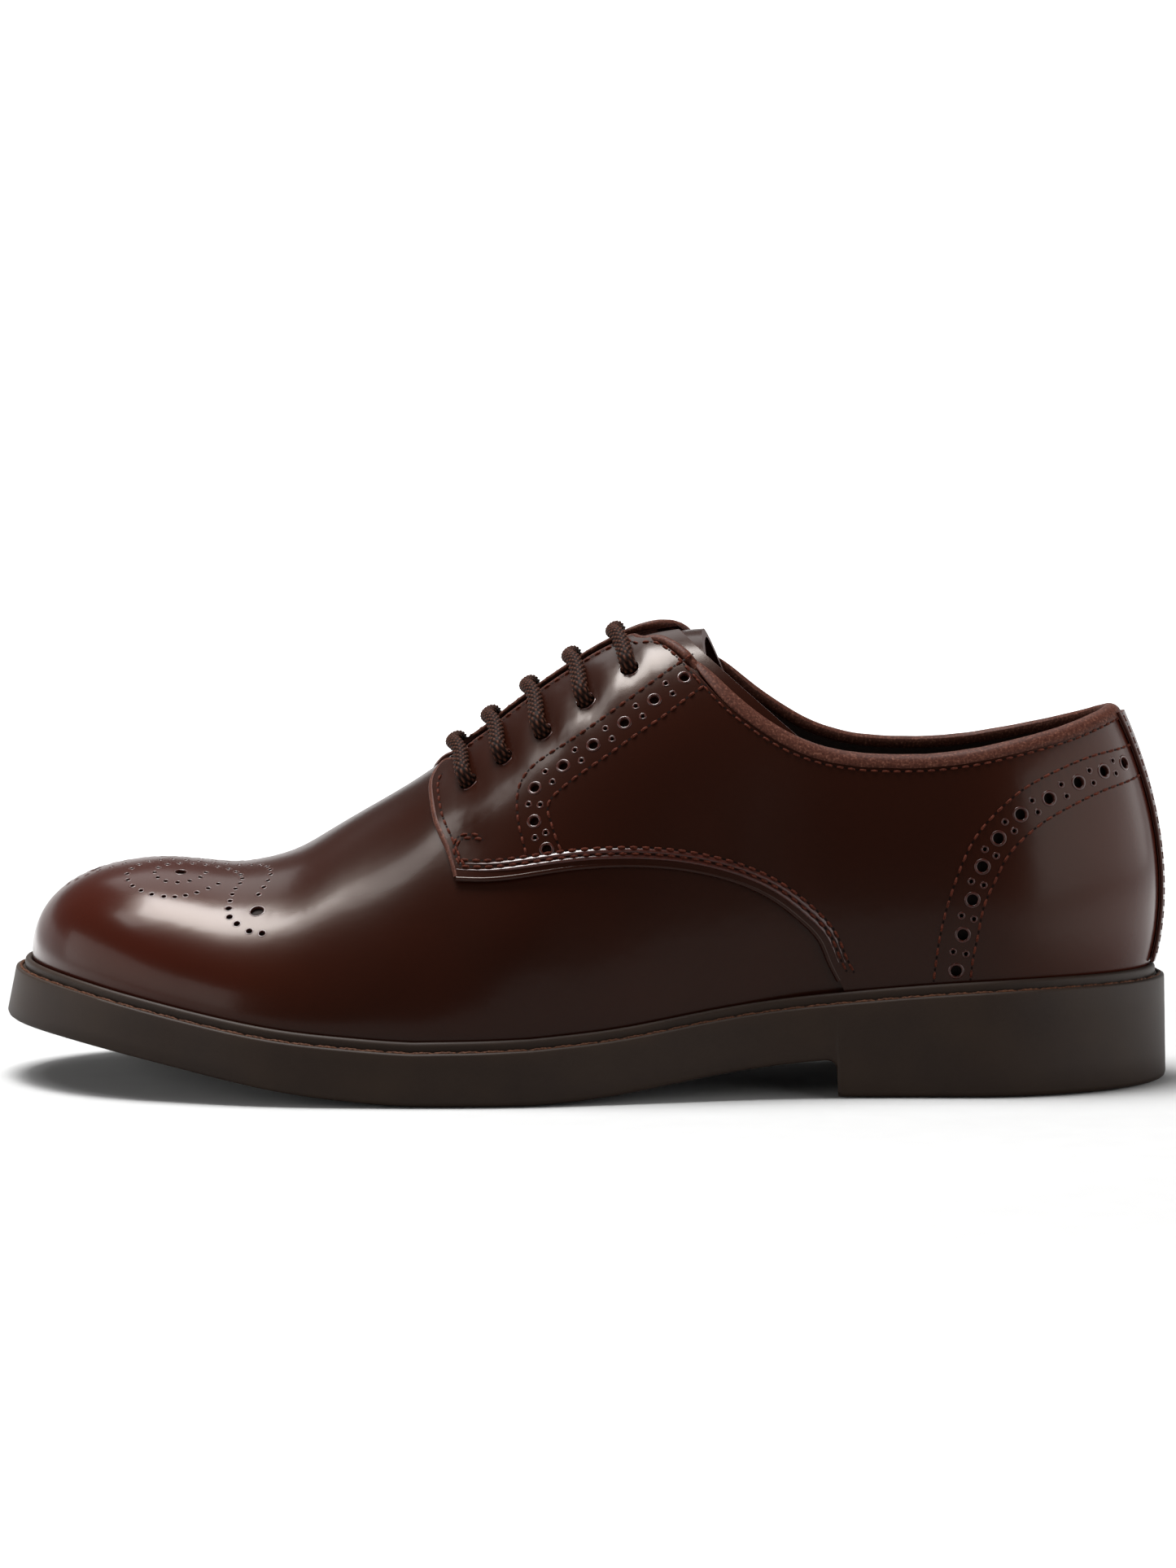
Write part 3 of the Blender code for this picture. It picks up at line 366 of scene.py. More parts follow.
def soft_normals(grid, rounds=3):
    """Outward normals of the ribs, one for each point, evened out a little."""
    around = np.roll(grid, -1, 0) - np.roll(grid, 1, 0)
    padded = np.concatenate([grid, over_ridge(grid)[:, None]], axis=1)
    up = np.concatenate([padded[:, 1:2] - padded[:, :1], padded[:, 2:] - padded[:, :-2]], axis=1)
    normal = np.cross(around, up)
    normal[:, -1] += normal[MIRROR, -1]
    for step in range(rounds + 1):
        normal /= np.maximum(np.linalg.norm(normal, axis=2), 1e-12)[:, :, None]
        if step == rounds:
            return normal
        padded = np.concatenate([normal, over_ridge(normal)[:, None]], axis=1)
        near = (np.roll(normal, 1, 0) + np.roll(normal, -1, 0))[:, 1:] + padded[:, 2:] + padded[:, :-2]
        normal[:, 1:] = normal[:, 1:] + near / 4
        normal[:, -1] = normal[:, -1] + normal[MIRROR, -1]


# Where the laces and the bartack pull the leather in, and where it swells beside them (a depth under nought):
# side chart (x, z), depth, width
PULLS = ((-30.0, 78.8, 1.00, 3.3), (-20.9, 85.0, 1.10, 3.3), (-10.9, 91.5, 1.15, 3.3), (-0.1, 99.4, 1.15, 3.3),
         (11.1, 107.6, 1.00, 3.3), (-29.5, 65.0, 0.80, 3.8), (-25.1, 81.9, -0.55, 2.9), (-14.4, 88.8, -0.55, 2.9),
         (-3.7, 94.1, -0.55, 2.9), (7.0, 102.9, -0.55, 2.9), (-27.0, 69.5, -0.40, 3.0), (-18.0, 42.0, -1.20, 9.0),
         (15.0, 108.5, -0.65, 4.5))
# Shallow waves where the ball of the foot bends the vamp: along X, depth, half width
FLEX = ((-63.0, 0.35, 9.0), (-47.0, -0.30, 8.0))


def pulled(grid, normals):
    """The last with the leather drawn in round the eyelets and lightly waved over the ball."""
    depth = np.zeros(grid.shape[:2])
    x, y, z = grid[:, :, 0], grid[:, :, 1], grid[:, :, 2]
    for px, pz, deep, wide in PULLS:
        near = ((x - px * MM) ** 2 + (z - pz * MM) ** 2) / (2 * (wide * MM) ** 2)
        depth += deep * MM * np.exp(-near)
    rise = (z - deck(x)) / (ridge_height(x) - deck(x))
    for px, deep, wide in FLEX:
        bend = np.exp(-((x - px * MM - 0.25 * (z - 0.04)) / (wide * MM)) ** 2)
        depth += deep * MM * bend * np.clip(rise / 0.35, 0, 1) ** 2 * np.clip((1.02 - rise) / 0.25, 0, 1)
    moved = grid - normals * depth[:, :, None]
    moved[:, 0] = grid[:, 0]
    moved[:, -1] = (moved[:, -1] + moved[MIRROR, -1]) / 2
    return moved


FORM = eased(last_ribs(), 14)
FORM = pulled(FORM, soft_normals(FORM))
FORM_NORMALS = soft_normals(FORM, rounds=1)


def grown(offset):
    moved = FORM + FORM_NORMALS * offset
    moved[:, 0, 2] = FORM[:, 0, 2]
    return moved


class Skin:
    """The last's surface grown by offset: met by rays, with a soft normal anywhere."""

    def __init__(self, offset):
        high = STEPS + 1
        self.points = grown(offset).reshape(-1, 3)
        self.normals = FORM_NORMALS.reshape(-1, 3)
        self.faces = []
        for k in range(2 * RIBS):
            after = (k + 1) % (2 * RIBS)
            for j in range(STEPS):
                a, b, c, d = k * high + j, after * high + j, after * high + j + 1, k * high + j + 1
                self.faces += [(a, b, c), (a, c, d)]
        self.tree = BVHTree.FromPolygons([Vector(p) for p in self.points], self.faces)

    def soft(self, point, index):
        corners = self.faces[index]
        a, b, c = (self.points[i] for i in corners)
        p = np.array(point)
        whole = np.cross(b - a, c - a)
        size = whole @ whole
        if size < 1e-30:
            return self.normals[corners[0]]
        u = np.cross(c - b, p - b) @ whole / size
        v = np.cross(a - c, p - c) @ whole / size
        normal = u * self.normals[corners[0]] + v * self.normals[corners[1]] + (1 - u - v) * self.normals[corners[2]]
        return normal / np.linalg.norm(normal)

    def cast(self, start, ahead):
        point, _, index, _ = self.tree.ray_cast(Vector(start), Vector(ahead))
        return None if point is None else (np.array(point), self.soft(point, index))

    def side(self, x, z, side):
        return self.cast((x, side * FAR, z), (0, -side, 0))

    def above(self, x, y):
        return self.cast((x, y, FAR * 2), (0, 0, -1))

    def nearest(self, point):
        found, _, index, _ = self.tree.find_nearest(Vector(point))
        return np.array(found), self.soft(found, index)


QUARTER_FACE = GAP + QUARTER_LEATHER
BACKSTAY_FACE = QUARTER_FACE + GAP + BACKSTAY_LEATHER
vamp_skin, quarter_skin, backstay_skin = Skin(0.0), Skin(QUARTER_FACE), Skin(BACKSTAY_FACE)


# ---- Materials ----

def hue(code):
    """An sRGB hex value as linear RGBA."""
    parts = [int(code[i:i + 2], 16) / 255 for i in (1, 3, 5)]
    return (*[c / 12.92 if c <= 0.04045 else ((c + 0.055) / 1.055) ** 2.4 for c in parts], 1.0)


def add(tree, kind, **settings):
    """Adds a node. A setting is one of its properties, or an input (by name, or _number) given a value or an output.

    stops gives a colour ramp its (place, hex) pairs.
    """
    made = tree.nodes.new("ShaderNode" + kind)
    for name, value in settings.items():
        if name == "stops":
            elements = made.color_ramp.elements
            while len(elements) < len(value):
                elements.new(1.0)
            for element, (place, code) in zip(elements, value):
                element.position, element.color = place, hue(code)
            continue
        if hasattr(made, name):
            setattr(made, name, value)
            continue
        socket = made.inputs[int(name[1:]) if name[1:].isdigit() else name.replace("_", " ")]
        if isinstance(value, bpy.types.NodeSocket):
            tree.links.new(value, socket)
        else:
            socket.default_value = value
    return made


def finish(name, **sockets):
    """A material whose shader has these sockets set. Returns it, its node tree and its shader."""
    made = bpy.data.materials.new(name)
    made.use_nodes = True
    shader = made.node_tree.nodes["Principled BSDF"]
    for key, value in sockets.items():
        shader.inputs[key.replace("_", " ")].default_value = value
    return made, made.node_tree, shader


def high_shine_calf():
    """Corrected-grain calf, plated smooth, sprayed burgundy and finished with a clear glaze.

    The glaze mirrors soft boxes with soft edges. Under it the colour is brushed on: nearly black on the flanks,
    glowing red at the toe and the heel.
    """
    made, tree, shader = finish("high_shine_burgundy_calf", Roughness=0.27, IOR=1.45, Specular_IOR_Level=0.11,
                                Specular_Tint=hue("#ffe6d2"), Coat_Weight=0.12, Coat_Roughness=0.17,
                                Coat_IOR=1.50)
    place = add(tree, "TexCoord").outputs["Object"]
    axes = add(tree, "SeparateXYZ", Vector=place)
    cloud = add(tree, "TexNoise", Vector=place, Scale=1 / 0.030, Detail=3.0, Roughness=0.5).outputs["Fac"]
    toe = add(tree, "MapRange", interpolation_type="SMOOTHSTEP", Value=axes.outputs["X"],
              From_Min=-0.045, From_Max=-0.120).outputs["Result"]
    heel = add(tree, "MapRange", interpolation_type="SMOOTHSTEP", Value=axes.outputs["X"],
               From_Min=0.085, From_Max=0.150).outputs["Result"]
    ends = add(tree, "Math", operation="MAXIMUM", _0=toe, _1=heel).outputs[0]
    uneven = add(tree, "Math", operation="MULTIPLY_ADD", _0=cloud, _1=0.5, _2=-0.25).outputs[0]
    red = add(tree, "Math", operation="ADD", use_clamp=True, _0=ends, _1=uneven).outputs[0]
    colour = add(tree, "ValToRGB", Fac=red, stops=((0.0, "#1a0703"), (0.45, "#220a04"), (1.0, "#290b05"))).outputs[0]
    tree.links.new(colour, shader.inputs["Base Color"])
    # Pores 0.15 mm apart are too fine to show, so they are drawn 0.45 mm apart
    pores = add(tree, "TexNoise", Vector=place, Scale=1 / 0.00045, Detail=2.0).outputs["Fac"]
    # The hide gives a little between its fibres, about every 7 mm
    slack = add(tree, "TexNoise", Vector=place, Scale=1 / 0.007, Detail=2.0).outputs["Fac"]
    under = add(tree, "Bump", Height=slack, Distance=0.00010, Strength=0.55)
    bump = add(tree, "Bump", Height=pores, Distance=0.00001, Strength=0.5, Normal=under.outputs[0])
    tree.links.new(bump.outputs[0], shader.inputs["Normal"])
    tree.links.new(add(tree, "Bump", Height=slack, Distance=0.00012, Strength=0.5).outputs[0],
                   shader.inputs["Coat Normal"])
    return made


def one_grain(name, size, stops, bump=None, detail=2.0, rough=0.5, onto="Normal", **sockets):
    """A material coloured by one grain of this size. bump gives the grain's height and strength."""
    made, tree, shader = finish(name, IOR=1.45, **sockets)
    place = add(tree, "TexCoord").outputs["Object"]
    grain = add(tree, "TexNoise", Vector=place, Scale=1 / size, Detail=detail, Roughness=rough).outputs["Fac"]
    tree.links.new(add(tree, "ValToRGB", Fac=grain, stops=stops).outputs[0], shader.inputs["Base Color"])
    if bump:
        raised = add(tree, "Bump", Height=grain, Distance=bump[0], Strength=bump[1])
        tree.links.new(raised.outputs[0], shader.inputs[onto])
    return made


def moulded_rubber():
    """Solid rubber pressed in a fine-blasted mould: matt dark brown with a soft low sheen."""
    made, tree, shader = finish("moulded_brown_rubber", Roughness=0.55, IOR=1.50, Specular_IOR_Level=0.12)
    place = add(tree, "TexCoord").outputs["Object"]
    cloud = add(tree, "TexNoise", Vector=place, Scale=1 / 0.020, Detail=3.0).outputs["Fac"]
    tree.links.new(add(tree, "ValToRGB", Fac=cloud, stops=((0.3, "#1d140f"), (0.7, "#231912"))).outputs[0],
                   shader.inputs["Base Color"])
    # The mould's blasting is about 0.1 mm; it is drawn at 0.4 mm so that it shows
    blast = add(tree, "TexNoise", Vector=place, Scale=1 / 0.0004, Detail=2.0).outputs["Fac"]
    bump = add(tree, "Bump", Height=blast, Distance=0.00003, Strength=0.6)
    tree.links.new(bump.outputs[0], shader.inputs["Normal"])
    return made


def waxed_cord(name, low, high):
    """Waxed cotton: tight fibres under a thin coat of wax, almost without shine."""
    return one_grain(name, 0.0005, ((0.3, low), (0.7, high)), bump=(0.00005, 0.6), detail=3.0, Roughness=0.50,
                     Specular_IOR_Level=0.04)


def plaited_lace():
    """Waxed cotton braid: its strands' crowns are coloured pale brown as a painted highlight, and the gaps between them
    dark as painted shade.
    """
    made, tree, shader = finish("waxed_cotton_lace", Roughness=0.50, IOR=1.45, Specular_IOR_Level=0.03)
    place = add(tree, "TexCoord").outputs["Object"]
    crown = add(tree, "Attribute", attribute_name="crown").outputs["Fac"]
    fibre = add(tree, "TexNoise", Vector=place, Scale=1 / 0.0004, Detail=3.0).outputs["Fac"]
    # Painted highlight and shade: the colour follows the crown attribute, pale on the strands' crowns and dark in the
    # gaps
    painted_crown_light = add(tree, "Math", operation="MULTIPLY_ADD", use_clamp=True, _0=fibre, _1=0.35, _2=add(
        tree, "Math", operation="ADD", _0=crown, _1=-0.17).outputs[0]).outputs[0]
    colour = add(tree, "ValToRGB", Fac=painted_crown_light, stops=((0.12, "#080403"), (0.5, "#23130e"), (0.95, "#45291e")))
    tree.links.new(colour.outputs[0], shader.inputs["Base Color"])
    bump = add(tree, "Bump", Height=fibre, Distance=0.00005, Strength=0.6)
    tree.links.new(bump.outputs[0], shader.inputs["Normal"])
    return made


def glowing_studio_paper():
    """Matt paper under strong lights, where it turns white, and also glowing by itself as painted light beside and
    behind the shoe. It is kept darker than paper so that the leather, which mirrors it, stays deep brown."""
    made, tree, shader = finish("glowing_white_studio_sweep", Roughness=0.9, Specular_IOR_Level=0.0)
    place = add(tree, "TexCoord").outputs["Object"]
    tooth = add(tree, "TexNoise", Vector=place, Scale=1 / 0.01, Detail=2.0).outputs["Fac"]
    tree.links.new(add(tree, "ValToRGB", Fac=tooth, stops=((0.0, "#989898"), (1.0, "#9c9c9c"))).outputs[0],
                   shader.inputs["Base Color"])
    # Painted light: the sweep also glows by itself, most beside the shoe, less behind it, and a little all round
    axes = add(tree, "SeparateXYZ", Vector=place)
    away = add(tree, "VectorMath", operation="LENGTH", _0=place).outputs["Value"]
    ring = add(tree, "MapRange", interpolation_type="SMOOTHSTEP", Value=away, From_Min=0.20, From_Max=0.50,
               To_Max=0.30).outputs["Result"]
    behind = add(tree, "MapRange", interpolation_type="SMOOTHSTEP", Value=axes.outputs["Y"], From_Min=0.30,
                 From_Max=1.00, To_Max=0.80).outputs["Result"]
    apart = add(tree, "Math", operation="ABSOLUTE", _0=axes.outputs["X"]).outputs[0]
    beside = add(tree, "MapRange", interpolation_type="SMOOTHSTEP", Value=apart, From_Min=0.17, From_Max=0.34,
                 To_Max=2.2).outputs["Result"]
    back = add(tree, "MapRange", interpolation_type="SMOOTHSTEP", Value=axes.outputs["Y"], From_Min=-0.50,
               From_Max=-0.12).outputs["Result"]
    near = add(tree, "MapRange", interpolation_type="SMOOTHSTEP", Value=away, From_Min=1.00,
               From_Max=0.45).outputs["Result"]
    beside = add(tree, "Math", operation="MULTIPLY", _0=beside, _1=add(
        tree, "Math", operation="MULTIPLY", _0=back, _1=near).outputs[0]).outputs[0]
    around = add(tree, "Math", operation="ADD", _0=ring, _1=behind).outputs[0]
    glow = add(tree, "Math", operation="ADD", _0=around, _1=beside).outputs[0]
    tree.links.new(glow, shader.inputs["Emission Strength"])
    shader.inputs["Emission Color"].default_value = (1.0, 1.0, 1.0, 1.0)
    return made


calf = high_shine_calf()
# Thin calf strip, vegetable dyed and left unglazed, folded over the collar: matt, with pale grain specks
binding_calf = one_grain("matt_binding_calf", 0.0006, ((0.3, "#26120c"), (0.55, "#3a1f17"), (0.75, "#5c3d31")),
                         bump=(0.00004, 0.7), detail=3.0, rough=0.6, Roughness=0.50, Specular_IOR_Level=0.07)
# Chrome-tanned lining calf with no finish: soft, dull, with a fine uneven grain
lining = one_grain("brown_lining_leather", 0.0009, ((0.3, "#0f0806"), (0.7, "#1d120d")),
                   bump=(0.00006, 0.8), detail=4.0, rough=0.6, Roughness=0.72, Specular_IOR_Level=0.15)
# Calf cut through by a punch: the raw dyed fibre shows, duller and redder than the glazed face
raw_edge = one_grain("punched_leather_edge", 0.0004, ((0.3, "#1f0a06"), (0.7, "#3b1c14")), Roughness=0.55,
                     Specular_IOR_Level=0.15)
# Calf glaze pushed up and burnished by the punch and by the seam: a harder shine than the flat leather
burnished = one_grain("burnished_calf_rim", 0.0007, ((0.3, "#200904"), (0.7, "#35120a")),
                      bump=(0.00002, 0.5), onto="Coat Normal", Roughness=0.30, Specular_IOR_Level=0.22, Coat_Weight=0.25,
                      Coat_Roughness=0.2, Coat_IOR=1.50)
rubber = moulded_rubber()
lace_cotton = plaited_lace()
thread = waxed_cord("waxed_seam_thread", "#260f0a", "#4a2318")
sole_thread = waxed_cord("waxed_sole_thread", "#1d100b", "#4c3123")
# Painted shade: the needle holes are not cut, and this near-black colour on flat discs stands in for the shade inside
# them
needle_shade = waxed_cord("needle_hole_shadow", "#080302", "#120705")


# ---- Making pieces ----

def piece_from(name, points, faces, finishes, slot=None, sharp=40):
    """A mesh piece that rides on the shoe."""
    mesh = bpy.data.meshes.new(name)
    mesh.from_pydata([tuple(p) for p in points], [], [tuple(dict.fromkeys(f)) for f in faces])
    mesh.validate()
    work = bmesh.new()
    work.from_mesh(mesh)
    bmesh.ops.recalc_face_normals(work, faces=work.faces)
    work.to_mesh(mesh)
    work.free()
    piece = bpy.data.objects.new(name, mesh)
    bpy.context.scene.collection.objects.link(piece)
    for each in np.atleast_1d(finishes):
        mesh.materials.append(each)
    mesh.shade_smooth()
    mesh.set_sharp_from_angle(angle=np.radians(sharp))
    if slot:
        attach(piece, "root")
    return piece


def slab(name, points, normals, inner, outer, finishes):
    """A closed sheet of leather over a patch of the last: points and normals as [row, column, xyz]."""
    rows, columns = points.shape[:2]
    front, back = points + normals * outer, points + normals * inner
    for layer in (front, back):
        low = np.abs(points[:, :, 2] - deck(points[:, :, 0]) - GAP) < 1e-6
        layer[low, 2] = points[low, 2]
    count = rows * columns
    faces = []
    for r in range(rows - 1):
        for c in range(columns - 1):
            a, b, d, e = r * columns + c, (r + 1) * columns + c, (r + 1) * columns + c + 1, r * columns + c + 1
            faces += [(a, b, d), (a, d, e), (count + a, count + d, count + b), (count + a, count + e, count + d)]
    border = ([(r, 0) for r in range(rows)] + [(rows - 1, c) for c in range(1, columns)]
              + [(r, columns - 1) for r in range(rows - 2, -1, -1)] + [(0, c) for c in range(columns - 2, 0, -1)])
    for (r, c), (s, d) in zip(border, border[1:] + border[:1]):
        a, b = r * columns + c, s * columns + d
        faces.append((a, b, count + b, count + a))
    return piece_from(name, np.vstack([front.reshape(-1, 3), back.reshape(-1, 3)]), faces, finishes)


def cup(name, inner, outer, finishes):
    """A sheet of leather over the whole last, open underneath."""
    high = STEPS + 1
    layers = grown(outer), grown(inner)
    count = 2 * RIBS * high
    faces = []

    def corner(layer, k, j):
        k = k % (2 * RIBS)
        return layer * count + (min(k, MIRROR[k]) if j == STEPS else k) * high + j

    for layer in (0, 1):
        for k in range(2 * RIBS):
            for j in range(STEPS):
                a, b = corner(layer, k, j), corner(layer, k + 1, j)
                c, d = corner(layer, k + 1, j + 1), corner(layer, k, j + 1)
                faces += [(a, b, c), (a, c, d)]
    for k in range(2 * RIBS):
        faces.append((corner(0, k, 0), corner(0, k + 1, 0), corner(1, k + 1, 0), corner(1, k, 0)))
    faces = [f for f in faces if len(set(f)) > 2]
    return piece_from(name, np.vstack([layer.reshape(-1, 3) for layer in layers]), faces, finishes)


def prism(name, outline, axis, low, high, finishes=raw_edge):
    """A cutter: a closed outline of (a, b) points along an axis from low to high."""
    places = {"X": (2, 0, 1), "Y": (0, 2, 1), "Z": (0, 1, 2)}[axis]
    points = [np.array([(a, b, c)[i] for i in places]) for c in (low, high) for a, b in outline]
    n = len(outline)
    faces = [tuple(range(n)), tuple(range(n, 2 * n))] + [(i, (i + 1) % n, n + (i + 1) % n, n + i) for i in range(n)]
    return piece_from(name, points, faces, finishes)


def cut(piece, *steps):
    """Runs Boolean steps of (cutter, operation), bakes them in, and puts the cutters away."""
    for cutter, operation in steps:
        step = piece.modifiers.new(cutter.name, "BOOLEAN")
        step.operation, step.object, step.solver = operation, cutter, "EXACT"
        step.material_mode = "TRANSFER"
    view = bpy.context.evaluated_depsgraph_get()
    baked = bpy.data.meshes.new_from_object(piece.evaluated_get(view))
    piece.modifiers.clear()
    piece.data = baked
    if not baked.polygons:
        raise RuntimeError(f"cutting left nothing of {piece.name}")
    for cutter, operation in steps:
        bpy.data.objects.remove(cutter)


def gloss(piece):
    """Gives the faces along the last the last's own soft normals, so that cuts leave no dents in the shine."""
    mesh = piece.data
    mesh.shade_smooth()
    mesh.set_sharp_from_angle(angle=np.radians(40))
    normals = [None] * len(mesh.vertices)
    loops = np.zeros((len(mesh.loops), 3))
    corner = mesh.corner_normals
    for face in mesh.polygons:
        for loop in face.loop_indices:
            v = mesh.loops[loop].vertex_index
            if normals[v] is None:
                normals[v] = vamp_skin.nearest(mesh.vertices[v].co)[1]
            facing = float(np.dot(normals[v], face.normal))
            loops[loop] = normals[v] * np.sign(facing) if abs(facing) > 0.85 else corner[loop].vector
    mesh.normals_split_custom_set([tuple(n) for n in loops])


def even_line(chart, pitch):
    """Points of a chart's smooth line, evenly spaced about pitch apart."""
    chart = np.array(chart, float)
    reach = reach_along(chart)
    rows = [(s, *p) for s, p in zip(reach, chart)]
    dense = np.linspace(0, reach[-1], max(int(reach[-1] / pitch * 8), 24))
    line = np.column_stack([natural_spline(rows, c)(dense) for c in range(1, chart.shape[1] + 1)])
    length = reach_along(line)
    at = np.linspace(0, length[-1], max(int(round(length[-1] / pitch)), 1) + 1)
    return np.column_stack([np.interp(at, length, line[:, c]) for c in range(chart.shape[1])])


def side_hits(chart, side):
    """(point, normal) on the shoe's side for each point of a side chart."""
    return [quarter_skin.side(x * MM, z * MM, side) for x, z in chart]


def on_skin(chart, side):
    """A side chart's line laid on the shoe's side: (points, normals)."""
    return parted([f for f in side_hits(even_line(chart, 0.5), side) if f is not None])


def tube(rings, closed=False, base=0):
    """Faces over rings of points, with both ends shut unless closed."""
    count, size = len(rings), len(rings[0])
    faces = []
    for k in range(count if closed else count - 1):
        after = (k + 1) % count
        faces += [(base + k * size + j, base + after * size + j, base + after * size + (j + 1) % size,
                   base + k * size + (j + 1) % size) for j in range(size)]
    if not closed:
        faces += [tuple(base + j for j in range(size)), tuple(base + (count - 1) * size + j for j in range(size))]
    return faces


def swept(name, path, normals, across, depth, finishes, slot, turn, taper=None):
    """A rounded strip along a path: across wide in the surface, depth thick along the normals."""
    ahead = heading(path)
    sideways = unit(np.cross(ahead, normals))
    size = np.ones(len(path)) if taper is None else taper
    angle = 2 * np.pi * np.arange(turn) / turn
    rings = [p + s * w * across / 2 * np.cos(angle)[:, None] + n * w * depth / 2 * np.sin(angle)[:, None]
             for p, s, n, w in zip(path, sideways, normals, size)]
    piece_from(name, np.vstack(rings), tube(rings), finishes, slot, sharp=60)


def ridge_strip(name, path, normals, section, taper):
    """A low ridge along a path. section gives (distance up the leather, height over it) round the ridge."""
    up = unit(np.cross(heading(path), normals))
    up *= np.where(up[:, 2:] < 0, -1.0, 1.0)
    rings = [np.array([p + u * w * across * MM + n * w * high * MM for across, high in section])
             for p, u, n, w in zip(path, up, normals, taper)]
    piece_from(name, np.vstack(rings), tube(rings), burnished, "upper_leather", sharp=80)


def stitch_rows(name, rows, length, space, width, rise=0.35):
    """Lockstitches along rows of (points, normals): each lies on the leather and dips into it at both ends."""
    points, faces, holes, hole_faces = [], [], [], []
    angle = 2 * np.pi * np.arange(6) / 6
    for path, normals in rows:
        reach = reach_along(path)
        count = max(int((reach[-1] + space) / (length + space)), 1)
        start = (reach[-1] - count * length - (count - 1) * space) / 2

        def at(s):
            s = np.clip(s, 0, reach[-1])
            p = np.array([np.interp(s, reach, path[:, c]) for c in range(3)])
            n = np.array([np.interp(s, reach, normals[:, c]) for c in range(3)])
            return p, n / np.linalg.norm(n)

        for i in range(count):
            s0 = start + i * (length + space)
            ends = at(s0)[0], at(s0 + length)[0]
            ahead = (ends[1] - ends[0]) / max(np.linalg.norm(ends[1] - ends[0]), 1e-9)
            rings = []
            for share, size, lift in ((0, 0.45, -0.55), (0.14, 0.85, 0.05), (0.5, 1.0, rise), (0.86, 0.85, 0.05),
                                      (1, 0.45, -0.55)):
                p, n = at(s0 + length * share)
                sideways = np.cross(ahead, n)
                rings.append(p + n * width * lift + circle(angle, sideways, n) * width / 2 * size)
            faces += tube(rings, base=len(points))
            points += list(np.vstack(rings))
            # Painted shade: a flat near-black disc at each needle hole stands in for the shade inside the hole
            for end in (s0 - space * 0.35, s0 + length + space * 0.35):
                p, n = at(end)
                sideways = np.cross(ahead, n)
                base = len(holes)
                holes += list(p + n * 0.00004 + circle(angle, sideways, ahead) * width * 0.42)
                hole_faces.append(tuple(range(base, base + 6)))
    piece_from(name, points, faces, thread, "upper_leather", sharp=80)
    piece_from(name + "_needle_hole_shade", holes, hole_faces, needle_shade, "upper_leather")


def round_hole(normal):
    """Two directions in the leather, square to each other."""
    a = np.cross(normal, (0.3, 0.2, 0.9))
    a /= np.linalg.norm(a)
    return a, np.cross(normal, a)


def hole_rods(name, places, depth, segments=18):
    """A cutter of short rods, one for each (point, normal, diameter)."""
    points, faces = [], []
    angle = 2 * np.pi * np.arange(segments) / segments
    for point, normal, diameter in places:
        a, b = round_hole(normal)
        rings = [point + normal * h + circle(angle, a, b) * diameter / 2 for h in (-depth / 2, depth / 2)]
        faces += tube(rings, base=len(points))
        points += list(np.vstack(rings))
    return piece_from(name, points, faces, raw_edge)


def hole_lips(name, places, width, out_by, segments, flat, sink=0.00006):
    """The glaze rolled over each punched edge, a thin bright ring sunk a little into the leather."""
    points, faces = [], []
    angle = 2 * np.pi * np.arange(segments) / segments
    section = 2 * np.pi * np.arange(8) / 8
    for point, normal, diameter in places:
        a, b = round_hole(normal)
        point = point - normal * sink
        rings = []
        for t in angle:
            out = np.cos(t) * a + np.sin(t) * b
            rings.append(point + out * (diameter / 2 + out_by)
                         + (np.outer(np.cos(section), out) + np.outer(np.sin(section), normal) * flat) * width / 2)
        faces += tube(rings, closed=True, base=len(points))
        points += list(np.vstack(rings))
    piece_from(name, points, faces, burnished, "upper_leather", sharp=80)


# ---- The cutters ----

def along_collar(x, y=-COLLAR_HALF_WIDTH):
    return along_of(x - COLLAR_SKEW * (y + COLLAR_HALF_WIDTH))


def collar_height(x, y=-COLLAR_HALF_WIDTH):
    return COLLAR_DIP + collar_rise(along_collar(x, y)) * INSTEP_RISE


def wall_edge(x, y=-COLLAR_HALF_WIDTH):
    near = 0.002
    slope = (collar_height(x + near, y) - collar_height(x - near, y)) / (2 * near)
    bound = np.clip((along_collar(x, y) - BINDING_START + BINDING_TAPER) / BINDING_TAPER, 0, 1)
    return collar_height(x, y) - (BINDING_HEIGHT + GAP) * np.hypot(1, slope) * bound


def collar_cutter(name):
    x = np.linspace(x_of(COLLAR[0][0]), x_of(COLLAR[-1][0]), 120)
    line = list(zip(x, wall_edge(x)))
    line[0] = (line[0][0], INSTEP_RISE + FAR)
    cutter = prism(name, line + [(x[-1], INSTEP_RISE + FAR)], "Y", -FAR, FAR)
    for corner in cutter.data.vertices:
        corner.co.x += COLLAR_SKEW * (corner.co.y + COLLAR_HALF_WIDTH)
    return cutter


THROAT_Y = THROAT_MIDDLE - MIDDLE_Y


def throat_cutter(name, front):
    radius = THROAT_GAP / 2
    turn = np.radians(np.linspace(90, 270, 25))
    plan = [(front + radius + radius * np.cos(t), THROAT_Y + radius * np.sin(t)) for t in turn]
    back = x_of(0.63)
    plan += [(back, THROAT_Y - radius), (back, THROAT_Y + radius)]
    return prism(name, plan, "Z", COLLAR_DIP / 2, INSTEP_RISE + FAR)


# The round nose at the top of a facing, on the side chart: from the throat's edge to the collar
NOSE = ((14.0, 115.0), (17.5, 115.3), (20.5, 114.7), (23.0, 113.4), (25.6, 111.4), (28.0, 109.2), (30.5, 106.9))
# The medial one from above, as if it were on the lateral side
FAR_NOSE = ((9.0, -3.7), (13.5, -3.9), (17.3, -4.8), (20.2, -6.5), (22.7, -8.9), (25.0, -11.8), (27.3, -14.9),
            (29.8, -17.8))


